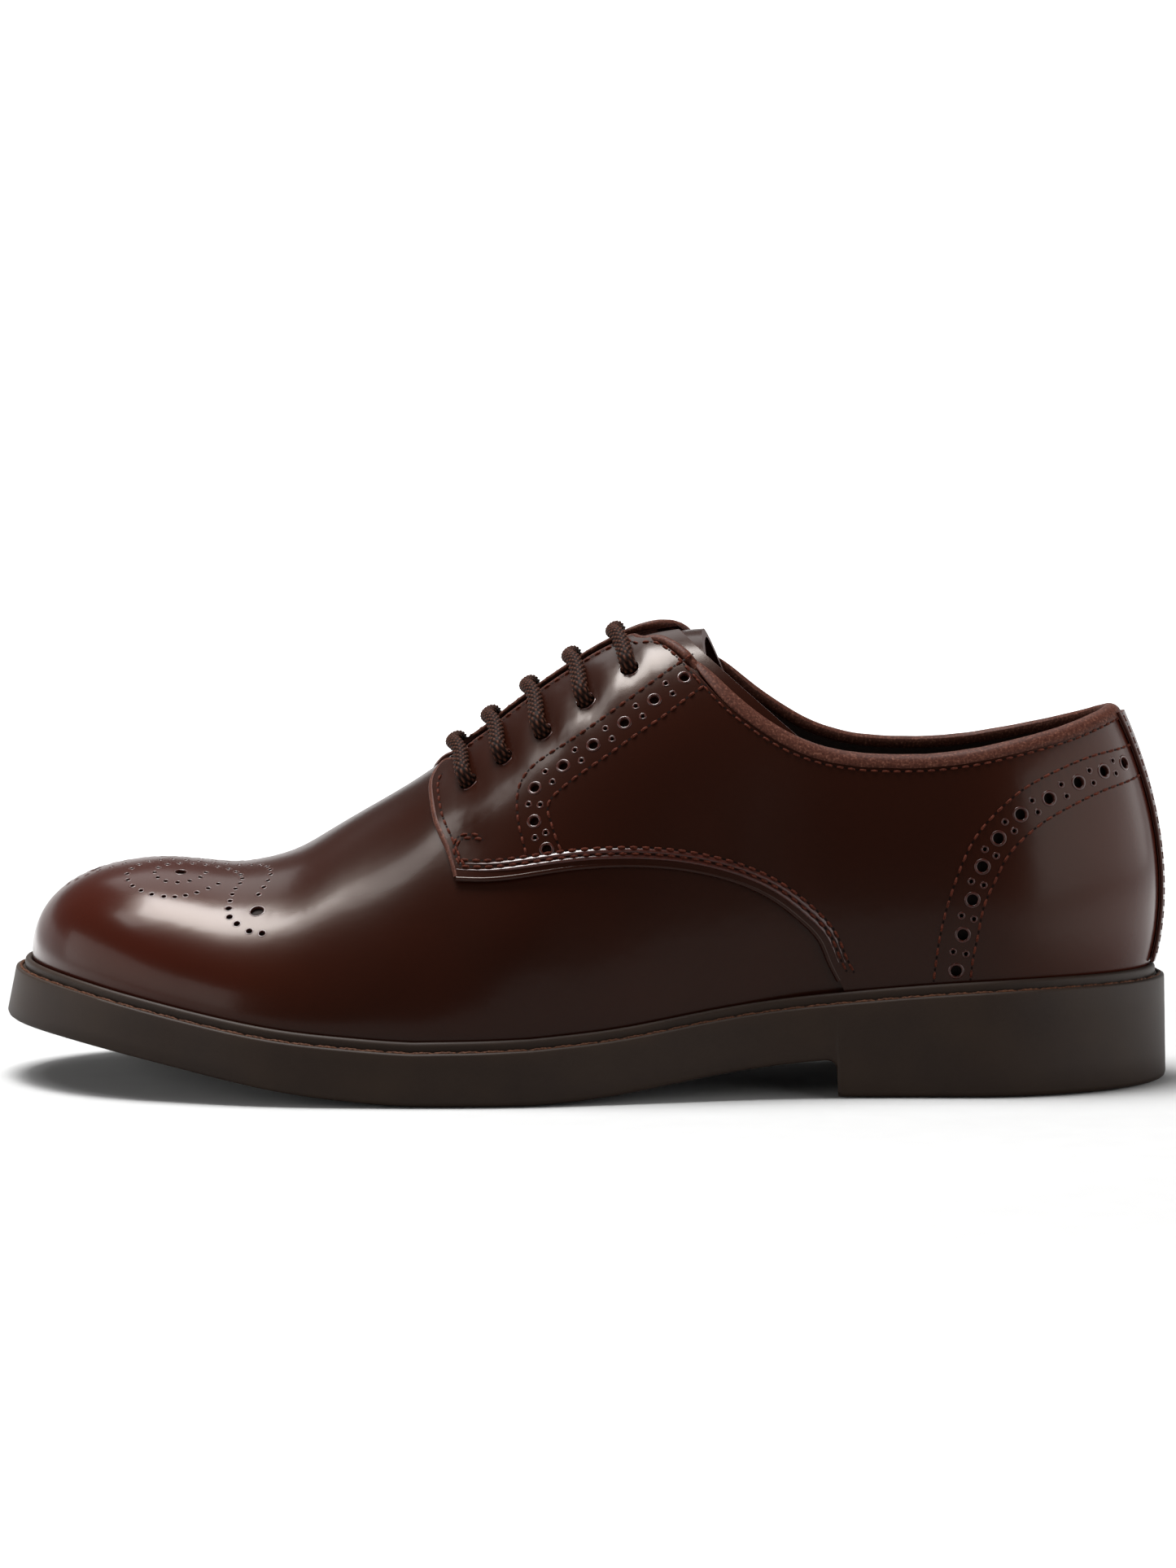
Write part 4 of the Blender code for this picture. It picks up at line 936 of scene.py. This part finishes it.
def nose_plan(side):
    """The nose's line from above, in metres. The medial one lies further back, as the collar does."""
    if side < 0:
        near = THROAT_Y - THROAT_GAP / 2
        line = [(0.0085, near), (0.0115, near)] + [(p[0], min(p[1], near)) for p, _ in side_hits(NOSE, -1)]
        line = even_line(np.array(line) / MM, 0.5) * MM
    else:
        line = even_line(FAR_NOSE, 0.5) * MM
        across = 2 * THROAT_Y - line[:, 1]
        line = np.column_stack([line[:, 0] + COLLAR_SKEW * (across - line[:, 1]), across])
    return line


def nose_cutter(name, side):
    line = nose_plan(side)
    beyond = 0.03 * side
    outline = [tuple(p) for p in line] + [(0.06, line[-1][1]), (0.06, line[0][1] - beyond),
                                          (line[0][0], line[0][1] - beyond)]
    return prism(name, outline, "Z", COLLAR_DIP, INSTEP_RISE + FAR)


def eyelet_places():
    """(point, normal) of each eyelet on the facings: pairs of lateral and medial."""
    places = []
    for along, up in EYELETS:
        near = quarter_skin.side(float(x_of(along)), up * COLLAR_DIP, -1)
        far = quarter_skin.above(float(x_of(along)), 2 * THROAT_Y - near[0][1])
        places.append((near, far))
    return places


eyelets = eyelet_places()


def side_holes(chart, side, diameter):
    return [(p, n, diameter) for p, n in side_hits(chart, side)]


def small_pairs(chart, between):
    """Two small holes between each two large ones, across the band. between is half their distance."""
    chart = np.array(chart, float)
    places = []
    for a, b in zip(chart, chart[1:]):
        ahead = (b - a) / np.linalg.norm(b - a)
        across = np.array([-ahead[1], ahead[0]])
        places += [(a + b) / 2 + across * between, (a + b) / 2 - across * between]
    return places


def toe_places():
    """(point, normal, diameter) of the medallion's holes, on both sides of the toe's centre line."""
    places = []
    sized = ([(x, d, DOT_PUNCH) for x, d in SCROLL] + [(x, d, TAIL_PUNCH) for x, d in SCROLL_TAIL]
             + [(x, d, DOT_PUNCH) for x, d in RING + TIP_CHAIN] + list(EYES))
    for x, d, diameter in sized:
        for side in ((-1, 1) if d else (1,)):
            middle = float(centre_line(x * MM)) - MIDDLE_Y
            point, normal = vamp_skin.above(x * MM, middle + side * d * MM)
            places.append((point, normal, diameter * MM))
    return places


# ---- The upper ----

def make_vamp():
    vamp = cup("vamp", -0.0008, 0.0, calf)
    places = toe_places()
    front = [(-0.16, -0.01), (VAMP_REAR, -0.01), (VAMP_REAR, 0.07), (0.02, 0.12), (-0.16, 0.12)]
    keep = prism("vamp keep", front, "Y", -FAR, FAR)
    cut(vamp, (keep, "INTERSECT"), (throat_cutter("vamp throat", x_of(VAMP_THROAT)), "DIFFERENCE"),
        (hole_rods("medallion punches", places, depth=0.003), "DIFFERENCE"))
    gloss(vamp)
    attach(vamp, "root")
    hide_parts("upper")
    hole_lips("medallion_lips", places, width=0.00044, out_by=0.00014, segments=16, flat=0.45, sink=0.00005)


def make_lining():
    sheet = cup("upper_lining", -UPPER_WALL, -0.0009, lining)
    cut(sheet, (collar_cutter("lining collar"), "DIFFERENCE"),
        (throat_cutter("lining throat", x_of(VAMP_THROAT)), "DIFFERENCE"))
    sheet.data.shade_smooth()
    sheet.data.set_sharp_from_angle(angle=np.radians(40))
    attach(sheet, "root")


QUARTER_NAME = {-1: "quarter_lateral", 1: "quarter_medial"}


def quarter_patch(side):
    """The ribs of one side from the vamp to just past the heel's middle."""
    x = FORM[:RIBS + 1, 0, 0]
    first = int(np.searchsorted(x, -0.062))
    ribs_of = list(range(first, RIBS + 1)) + [RIBS + i for i in range(1, 5)]
    if side > 0:
        ribs_of = [int(MIRROR[k % (2 * RIBS)]) for k in ribs_of]
    return FORM[ribs_of], FORM_NORMALS[ribs_of]


def quarter_outline():
    front = even_line(QUARTER_FRONT, 0.8) * MM
    lower = even_line(QUARTER_LOWER, 0.8) * MM
    return [(-0.0327, 0.15)] + [tuple(p) for p in front] + [tuple(p) for p in lower[1:]]


def make_quarter(side):
    name = QUARTER_NAME[side]
    quarter = slab(name + "_leather", *quarter_patch(side), GAP, QUARTER_FACE, calf)
    edge = quarter_outline()
    region = edge + [(FAR * 2, edge[-1][1]), (FAR * 2, edge[0][1])]
    back_y = -MIDDLE_Y
    keep = prism(name + " outline", region, "Y", *sorted((side * FAR, back_y + side * GAP / 2)))
    large = side_holes(FACING_HOLES, side, FACING_PUNCH * MM) + side_holes(HEEL_HOLES, side, HEEL_PUNCH * MM)
    small = side_holes(small_pairs(FACING_HOLES, 1.5) + small_pairs(HEEL_HOLES, 1.65), side, SMALL_PUNCH * MM)
    pulls = [(*pair[side > 0], EYELET_DIAMETER) for pair in eyelets]
    cut(quarter, (keep, "INTERSECT"), (collar_cutter(name + " collar"), "DIFFERENCE"),
        (throat_cutter(name + " throat", x_of(QUARTER_THROAT)), "DIFFERENCE"),
        (nose_cutter(name + " nose", side), "DIFFERENCE"),
        (hole_rods(name + " punches", large + small + pulls, depth=0.0026), "DIFFERENCE"))
    gloss(quarter)
    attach(quarter, "root")
    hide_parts(name)
    hole_lips(name + "_large_lips", large, width=0.00072, out_by=0.00030, segments=20, flat=0.62)
    hole_lips(name + "_small_lips", small, width=0.00050, out_by=0.00020, segments=20, flat=0.75)
    hole_lips(name + "_eyelet_lips", pulls, width=0.00060, out_by=0.00015, segments=30, flat=0.7)


def inset_chart(chart, inset):
    """A side chart moved to its right-hand side, seen along it."""
    line = even_line(chart, 0.8)
    ahead = heading(line)
    return line + np.column_stack([-ahead[:, 1], ahead[:, 0]]) * inset


def throat_line(side, away, start, end):
    """A line on the facing, away from the throat's edge."""
    y = THROAT_Y + side * (THROAT_GAP / 2 + away)
    found = [quarter_skin.above(x, y) for x in np.linspace(start, end, 90)]
    return parted(found)


def laid(points):
    """Points brought onto the quarters' face, with their normals."""
    found = [quarter_skin.nearest(p) for p in points]
    return parted(found)


def make_quarter_edges(side):
    """The quarter's turned edge, folded over so that it ends in a soft round, with its seams beside it."""
    name = QUARTER_NAME[side]
    lower = [p for p in even_line(QUARTER_LOWER, 0.9) if p[1] > 28.5]
    path, normal = laid([p for p, _ in side_hits(lower, side)])
    swept(name + "_turned_edge", path - normal * 0.00055, normal, 0.0014, 0.0013, calf, "upper_leather", turn=14)
    front = [p for p, _ in side_hits(even_line(QUARTER_FRONT, 0.6)[::-1], side)]
    throat = throat_line(side, 0.0003, start=-0.029, end=0.0085)[0]
    nose = [quarter_skin.above(x, y)[0] for x, y in nose_plan(side)[1:]]
    path, normal = laid(even_line(np.vstack([front, throat, nose]) / MM, 0.7) * MM)
    low = np.clip((-0.0325 - path[:, 0]) / 0.004, 0, 1)
    high = np.clip((path[:, 0] - 0.004) / 0.020, 0, 1)
    grow = 0.95 + 0.40 * low + 1.05 * high * high * (3 - 2 * high)
    sink = 0.00055 * grow + 0.0018 * np.clip((path[:, 0] - 0.0255) / 0.004, 0, 1)
    swept(name + "_bound_edge", path - normal * sink[:, None], normal, 0.0014, 0.0013, binding_calf,
          "binding_leather", turn=14, taper=grow)
    rows = [on_skin([p for p in inset_chart(QUARTER_LOWER, away) if p[1] > 30.5], side) for away in SEAM_INSETS]
    for number, away in enumerate(SWELL_INSETS):
        # The leather swells between the seams and shines there
        path, normal = on_skin([p for p in inset_chart(QUARTER_LOWER, away) if p[1] > 34], side)
        ridge_strip(f"{name}_seam_swell_{number}", path, normal,
                    ((0.70, -0.15), (0.55, 0.02), (0.20, 0.24), (-0.10, 0.40), (-0.35, 0.42), (-0.55, 0.20),
                     (-0.65, -0.15)),
                    np.clip(np.sin(np.linspace(0, np.pi, len(path))) * 2.5, 0.15, 1))
    rows.append(on_skin(inset_chart(QUARTER_FRONT[1:], 1.9)[2:-2], side))
    rows.append(throat_line(side, 0.0019, start=-0.031, end=0.0100))
    inner_nose = nose_plan(side) + (-0.0012, 0.0022 * side)
    rows.append(laid([quarter_skin.above(x, y)[0] for x, y in inner_nose[::4]]))
    rows += [on_skin(chart, side) for chart in (FACING_OUTER, FACING_INNER, HEEL_OUTER, HEEL_INNER)]
    rows += [on_skin(inset_chart(BARTACK, away), side) for away in (-0.45, 0.45)]
    stitch_rows(name + "_seams", rows, *STITCH, 0.0007)


def collar_row(side, drop):
    """A row under the binding, on the quarter's outside."""
    found = []
    for x in np.linspace(0.0270, 0.1385, 240):
        z = float(wall_edge(x)) - drop
        hit = quarter_skin.side(x, z, side)
        if hit is not None:
            y = hit[0][1]
            z = float(wall_edge(x, y)) - drop
            hit = quarter_skin.side(x, z, side)
            if hit is not None:
                found.append(hit)
    return parted(found)


def make_backstay():
    """The strip over the back seam."""
    span = 26
    ribs_of = list(range(RIBS - span, RIBS + span + 1))
    strip = slab("backstay_strip", FORM[ribs_of], FORM_NORMALS[ribs_of], QUARTER_FACE + GAP, BACKSTAY_FACE, calf)
    half, foot_half = BACKSTAY_WIDTH / 2, BACKSTAY_WIDTH / 2 * 0.88
    low = float(deck(x_of(0.98))) + RAND_HEIGHT + 2 * GAP
    high = float(wall_edge(x_of(0.965)))
    middle = -MIDDLE_Y
    face = [(middle - foot_half, low), (middle + foot_half, low), (middle + half, high), (middle - half, high)]
    cut(strip, (prism("backstay outline", face, "X", float(x_of(0.93)), FAR * 2), "INTERSECT"),
        (collar_cutter("backstay collar"), "DIFFERENCE"))
    gloss(strip)
    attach(strip, "root")
    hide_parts("backstay")
    rows = []
    for side in (-1, 1):
        found = []
        for t in np.linspace(0, 1, 120):
            z = low + 0.0010 + t * (high - low - 0.0025)
            y = middle + side * ((foot_half + (half - foot_half) * t) - 0.0014)
            found.append(backstay_skin.cast((FAR * 2, y, z), (-1, 0, 0)))
        seam, turned = parted(found)
        rows.append((seam, turned))
        edge = np.array([backstay_skin.cast((FAR * 2, y + side * 0.0012, z), (-1, 0, 0))[0] for _, y, z in seam])
        swept(f"backstay_edge_{'lateral' if side < 0 else 'medial'}", edge - turned * 0.0005, turned, 0.0011, 0.0011,
              calf, "upper_leather", turn=10)
    stitch_rows("backstay_seams", rows, *STITCH, 0.0005, rise=-0.15)


def make_binding():
    """The bound edge of the collar: a strip folded over the cut edge, flat-sided with a round top."""
    inner, outer = -UPPER_WALL - 0.0002, QUARTER_FACE + 0.0006
    sections = []
    for k in range(2 * RIBS):
        rib, outward = FORM[k], FORM_NORMALS[k]
        fine = np.linspace(0, STEPS, STEPS * 20 + 1)
        line = np.column_stack([np.interp(fine, np.arange(STEPS + 1), rib[:, c]) for c in range(3)])
        lean = np.column_stack([np.interp(fine, np.arange(STEPS + 1), outward[:, c]) for c in range(3)])
        marks = []
        for height in (lambda x, y: wall_edge(x, y) - 0.0003, collar_height):
            over = line[:, 2] - height(line[:, 0], line[:, 1])
            crossing = np.flatnonzero((over[:-1] < 0) & (over[1:] >= 0))
            marks.append(crossing[0] if len(crossing) else None)
        if None in marks or line[marks[1], 0] - COLLAR_SKEW * (line[marks[1], 1] + COLLAR_HALF_WIDTH) < BINDING_FRONT:
            continue
        low, high = line[marks[0]], line[marks[1]]
        across = lean[(marks[0] + marks[1]) // 2].copy()
        across[2] = 0
        across /= np.linalg.norm(across)
        sections.append((low, high, across))
    shape = ((inner, 0.0), (inner, 0.45), (inner + 0.0003, 0.78), ((inner + outer) / 2 - 0.0005, 0.98),
             ((inner + outer) / 2 + 0.0005, 0.99), (outer - 0.0003, 0.80), (outer, 0.50), (outer + 0.00005, 0.12),
             (outer - 0.00025, 0.0))
    rings = [np.array([low + (high - low) * up + across * reach for reach, up in shape])
             for low, high, across in sections]
    for end in (0, -1):
        for step, size in enumerate((0.35, 0.7, 0.9)):
            at = step if end == 0 else -1 - step
            rings[at] = rings[at].mean(axis=0) + (rings[at] - rings[at].mean(axis=0)) * size
    points = np.vstack(rings)
    piece = piece_from("collar_binding_strip", points, tube(rings), binding_calf, "binding_leather", sharp=50)
    soften = piece.modifiers.new("soften", "SUBSURF")
    soften.levels = soften.render_levels = 1
    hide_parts("collar_binding")
    rows = [collar_row(side, 0.0010) for side in (-1, 1)]
    stitch_rows("collar_seam", rows, 0.0021, 0.0008, 0.0006)


def make_tongue():
    """The tongue: one thick sheet, cut to its outline and leaning back at the top."""
    outer = -(UPPER_WALL + 3 * GAP)
    x = FORM[:RIBS + 1, -1, 0]
    first, last_rib = int(np.searchsorted(x, x_of(0.34))), int(np.searchsorted(x, x_of(0.66)))
    ribs_of = list(range(first, last_rib))
    low = int(STEPS * 0.45)
    across, normals = (np.concatenate([grid[ribs_of][:, low:], grid[MIRROR[ribs_of]][:, low:-1][:, ::-1]], axis=1)
                       for grid in (FORM, FORM_NORMALS))
    tongue = slab("tongue_leather", across, normals, outer - TONGUE_THICKNESS, outer, calf)
    centre = -MIDDLE_Y
    front, top = x_of(0.352), TONGUE_TOP
    top_z = float(deck(top) + ridge_rise(along_of(top)) * INSTEP_RISE)
    low_z = COLLAR_DIP * 0.6
    side_view = [(front, low_z), (top + (top_z - low_z) * TONGUE_LEAN, low_z), (top - FAR * TONGUE_LEAN, top_z + FAR),
                 (front, top_z + FAR)]
    plan = [(front - 0.001, centre - 0.018), (front - 0.001, centre + 0.018), (top + 0.02, centre + 0.026),
            (top + 0.02, centre - 0.026)]
    outline = prism("tongue outline", side_view, "Y", -FAR, FAR)
    for corner in outline.data.vertices:
        if corner.co.x > front + 1e-6:
            corner.co.x += TONGUE_TWIST * (corner.co.y - centre)
    cut(tongue, (outline, "INTERSECT"),
        (prism("tongue width", plan, "Z", 0.0, FAR * 2, calf), "INTERSECT"))
    gloss(tongue)
    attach(tongue, "root")
    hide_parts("tongue")


# ---- The laces ----

def plait(name, path, normals):
    """A round plaited lace: sixteen strands wound both ways, each crossing standing up as a small lozenge."""
    ahead = heading(path)
    sideways = unit(np.cross(ahead, normals))
    upward = np.cross(sideways, ahead)
    reach = reach_along(path)
    turn, strands, lay = 40, 8, 0.0046
    angle = 2 * np.pi * np.arange(turn) / turn
    rings, crowns = [], []
    for p, s, u, along in zip(path, sideways, upward, reach):
        one = np.abs(np.sin(strands / 2 * angle + 2 * np.pi * along / lay))
        two = np.abs(np.sin(strands / 2 * angle - 2 * np.pi * along / lay))
        crown = (one * two) ** 1.2
        swell = (1 + 0.26 * crown - 0.13) * (1 - 0.14 * np.clip((along / reach[-1] - 0.25) / 0.3, 0, 1))
        crowns.append(crown)
        rings.append(p + s * (PLAIT_WIDTH / 2 * np.cos(angle) * swell)[:, None]
                     + u * (PLAIT_DEPTH / 2 * np.sin(angle) * swell)[:, None])
    lace = piece_from(name, np.vstack(rings), tube(rings), lace_cotton, "lace", sharp=80)
    layer = lace.data.attributes.new("crown", "FLOAT", "POINT")
    layer.data.foreach_set("value", np.concatenate(crowns).astype(np.float32))
    return lace


def make_laces():
    for number, (near, far) in enumerate(eyelets, 1):
        lift = LACE_THICKNESS / 2 + GAP
        (a, na), (b, nb) = near, far
        facing = (1 - THROAT_GAP / abs(b[1] - a[1])) / 2
        over = []
        for share in (facing * 0.45, facing, 1 - facing, 1 - facing * 0.45):
            flat = a + (b - a) * share
            x = flat[0] - LACE_BOW * min(share, 1 - share) / facing
            hit, normal = quarter_skin.above(x, flat[1])
            over.append(hit + normal * lift)
        middle = (over[1] + over[2]) / 2 - (LACE_BOW / 2, 0, 0)
        knots = np.array([a - na * LACE_DIP, a - na * 0.0004, a + na * lift * 0.75, over[0], over[1], middle, over[2],
                          over[3], b + nb * lift * 0.75, b - nb * 0.0004, b - nb * LACE_DIP])
        path = even_line(knots / MM, 0.33) * MM
        side = np.array([1.0, 0.0, 0.62])
        normals = unit(np.cross(np.gradient(path, axis=0), -side))
        normals *= np.sign(normals[len(normals) // 2, 2])
        bar = plait(f"lace_{number}", path, normals)
        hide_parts(f"lace_bar_{number}")


# ---- The sole ----

def sole_stations(count=230):
    """Stations from toe to heel, closer at both ends, with a few at the heel's breast."""
    x = SOLE_LENGTH / 2 * -np.cos(np.pi * np.arange(count + 1) / count)
    breast = SOLE_LENGTH / 2 - HEEL_LENGTH
    near = breast + np.array([-0.0040, -0.0030, -0.0022, -0.0015, -0.0009, -0.0004, -0.0001, 0.0001, 0.0006])
    x = x[np.abs(x - breast) > 0.0045]
    return np.sort(np.concatenate([x, near]))


def tread_line(x):
    """The lower line of the moulded unit, heel block included, with a small round at the breast."""
    breast = SOLE_LENGTH / 2 - HEEL_LENGTH
    radius = 0.0030
    into = np.clip((x - breast + radius) / radius, 0, 1)
    fillet = radius * (1 - np.sqrt(np.clip(1 - into ** 2, 0, 1)))
    return np.where(x > breast, 0.0, np.maximum(underside(x) - fillet, 0))


def loops_solid(name, levels, finishes, slot, sharp=40):
    """A closed solid from loops of points stacked from bottom to top, its top and bottom closed across."""
    size = len(levels[0])
    faces = []
    for n in range(len(levels) - 1):
        for k in range(size):
            after = (k + 1) % size
            faces.append((n * size + k, n * size + after, (n + 1) * size + after, (n + 1) * size + k))
    for base in (0, (len(levels) - 1) * size):
        for k in range(size // 2):
            faces.append((base + k, base + k + 1, base + (size - k - 1) % size, base + (size - k) % size))
    return piece_from(name, np.vstack(levels), faces, finishes, slot, sharp)


def on_deck(x, inset, rise):
    """A ring of the sole's outline moved in by inset, rise over the deck."""
    ring = ring_at(x, sole_loop(inset))
    return np.column_stack([ring, deck(ring[:, 0]) + rise])


def make_sole():
    x = sole_stations()
    lean = flare(LOOP_X)
    levels = []
    # (inset of the loop, height over the tread or under the deck)
    lower = ((TREAD_EDGE, 0.0), (TREAD_EDGE * 0.55, 0.0002), (TREAD_EDGE * 0.2, 0.0006), (0.0, 0.0015))
    upper = ((0.25, 0.25), (0.5, 0.5), (0.75, 0.75))
    for inset, rise in lower:
        ring = ring_at(x, sole_loop(inset))
        levels.append(np.column_stack([ring, tread_line(ring[:, 0]) + rise]))
    for share, up in upper:
        ring = ring_at(x, sole_loop(lean * share))
        bottom = tread_line(ring[:, 0]) + 0.0015
        levels.append(np.column_stack([ring, bottom + (deck(ring[:, 0]) - 0.0006 - bottom) * up]))
    top = ((0.0, -0.0006), (0.00015, -0.0002), (0.0006, 0.0), (0.0010, 0.0), (0.0012, -0.00035), (0.0019, -0.00035),
           (0.0021, 0.0), (0.0040, 0.0))
    levels += [on_deck(x, lean + inset, rise) for inset, rise in top]
    sole = loops_solid("moulded_sole", levels, rubber, "sole_rubber", sharp=50)
    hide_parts("outsole")
    path = even_line(on_deck(station_x(400), lean + 0.00130, 0.0) / MM, 0.36) * MM
    reach = np.arange(len(path)) * 0.00036
    out = np.cross(heading(path), (0.0, 0.0, 1.0))
    # Two yarns twisted every 1.7 mm, drawn down into a needle hole every 6 mm
    angle = 2 * np.pi * np.arange(8) / 8
    dip = np.abs(np.sin(np.pi * reach / 0.0060)) ** 0.25
    rings = []
    for p, o, along, low in zip(path, out, reach, dip):
        size = 0.00042 * (0.72 + 0.45 * np.abs(np.cos(angle - np.pi * along / 0.0017)))
        lift = (0.0, 0.0, -0.0006 + 0.0006 * low)
        rings.append(p + lift + circle(angle, o, (0.0, 0.0, 1.0)) * size[:, None])
    piece_from("welt_stitches", np.vstack(rings), tube(rings), sole_thread, "sole_rubber", sharp=80)


def make_rand():
    x = station_x(260)
    edge = flare(LOOP_X) + WELT_LEDGE
    turn = np.radians(np.linspace(0, 180, 9))
    section = [(0.0, 0.0)] + [(RAND_WIDTH / 2 * (1 - np.cos(t)), RAND_HEIGHT * 0.55 + RAND_HEIGHT * 0.45 * np.sin(t))
                              for t in turn] + [(RAND_WIDTH, 0.0)]
    rings = np.array([on_deck(x, edge + inset, height) for inset, height in section]).transpose(1, 0, 2)
    rand = piece_from("welt_bead", rings.reshape(-1, 3), tube(rings, closed=True), rubber, "sole_rubber")
    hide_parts("welt_rand")


def make_insole():
    x = station_x(160)
    section = ((0.0, GAP), (0.0, INSOLE_THICKNESS * 0.7), (0.0006, INSOLE_THICKNESS),
               (0.0030, INSOLE_THICKNESS + GAP))
    levels = [on_deck(x, FOOT_INSET + UPPER_WALL + GAP + inset, rise) for inset, rise in section]
    sock = loops_solid("sock_lining", levels, lining, "lining_leather")
    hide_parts("insole")


# ---- The studio ----

FLOOR_FRONT = -0.75         # the floor ends in front of the camera's view, and the leather mirrors the dark beyond it


def make_studio():
    """A white sweep that glows by itself as painted light, a soft box nearly overhead, pale screens round it, and a dim
    world behind the camera.
    """
    radii = np.concatenate([np.linspace(0.02, 2.6, 24), 2.6 + 0.9 * np.sin(np.linspace(0.1, np.pi / 2, 10))])
    heights = np.concatenate([np.zeros(24), 0.9 * (1 - np.cos(np.linspace(0.1, np.pi / 2, 10)))])
    turn = 2 * np.pi * np.arange(72) / 72
    rings = [np.column_stack([r * np.cos(turn), np.maximum(r * np.sin(turn), FLOOR_FRONT),
                              h * np.clip(1.5 * np.sin(turn) + 0.5, 0, 1) - 0.0002]) for r, h in zip(radii, heights)]
    faces = [f for f in tube(rings) if len(f) == 4] + [tuple(range(72))]
    sweep = piece_from("studio_sweep", np.vstack(rings), faces, glowing_studio_paper())
    camera = bpy.data.objects.new("camera", bpy.data.cameras.new("camera"))
    camera.data.lens, camera.data.sensor_width, camera.data.sensor_fit = 124.68, 36.0, "AUTO"
    camera.data.clip_start, camera.data.clip_end = 0.05, 30.0
    camera.location = (0.0005, -1.3977, 0.2206)
    look = Vector((0.0005, 0.0018, 0.076)) - camera.location
    camera.rotation_euler = look.to_track_quat("-Z", "Y").to_euler()
    bpy.context.scene.collection.objects.link(camera)
    bpy.context.scene.camera = camera
    lights = (
        # azimuth from the camera's side towards the heel, elevation, distance, width, height, radiance
        ("soft box overhead", -112, 79, 1.30, 0.54, 0.58, 48.0),
        ("strip beside it", -82, 61, 1.30, 0.34, 0.38, 12.0),
        ("screen at the toe", -68, 12, 1.70, 2.30, 0.80, 3.2),
        ("screen at the heel", 76, 14, 1.50, 2.60, 0.95, 3.2),
        ("screen behind", 180, 50, 1.70, 1.50, 0.70, 2.6),
    )
    for name, azimuth, elevation, distance, width, height, radiance in lights:
        light = bpy.data.lights.new(name, "AREA")
        light.shape, light.size, light.size_y = "RECTANGLE", width, height
        light.energy = radiance * np.pi * width * height
        lamp = bpy.data.objects.new(name, light)
        az, el = np.radians(azimuth), np.radians(elevation)
        aim = Vector((np.cos(el) * np.sin(az), -np.cos(el) * np.cos(az), np.sin(el)))
        lamp.location = Vector((0, 0, 0.05)) + aim * distance
        lamp.rotation_euler = (-aim).to_track_quat("-Z", "Y").to_euler()
        bpy.context.scene.collection.objects.link(lamp)
    world = bpy.data.worlds.new("studio")
    world.use_nodes = True
    world.node_tree.nodes["Background"].inputs["Color"].default_value = hue("#d8d4d0")
    world.node_tree.nodes["Background"].inputs["Strength"].default_value = 0.25
    bpy.context.scene.world = world
    bpy.context.scene.view_settings.view_transform = "Standard"


make_vamp()
make_lining()
for side in (-1, 1):
    make_quarter(side)
    make_quarter_edges(side)
make_backstay()
make_binding()
make_tongue()
make_laces()
make_sole()
make_rand()
make_insole()
make_studio()
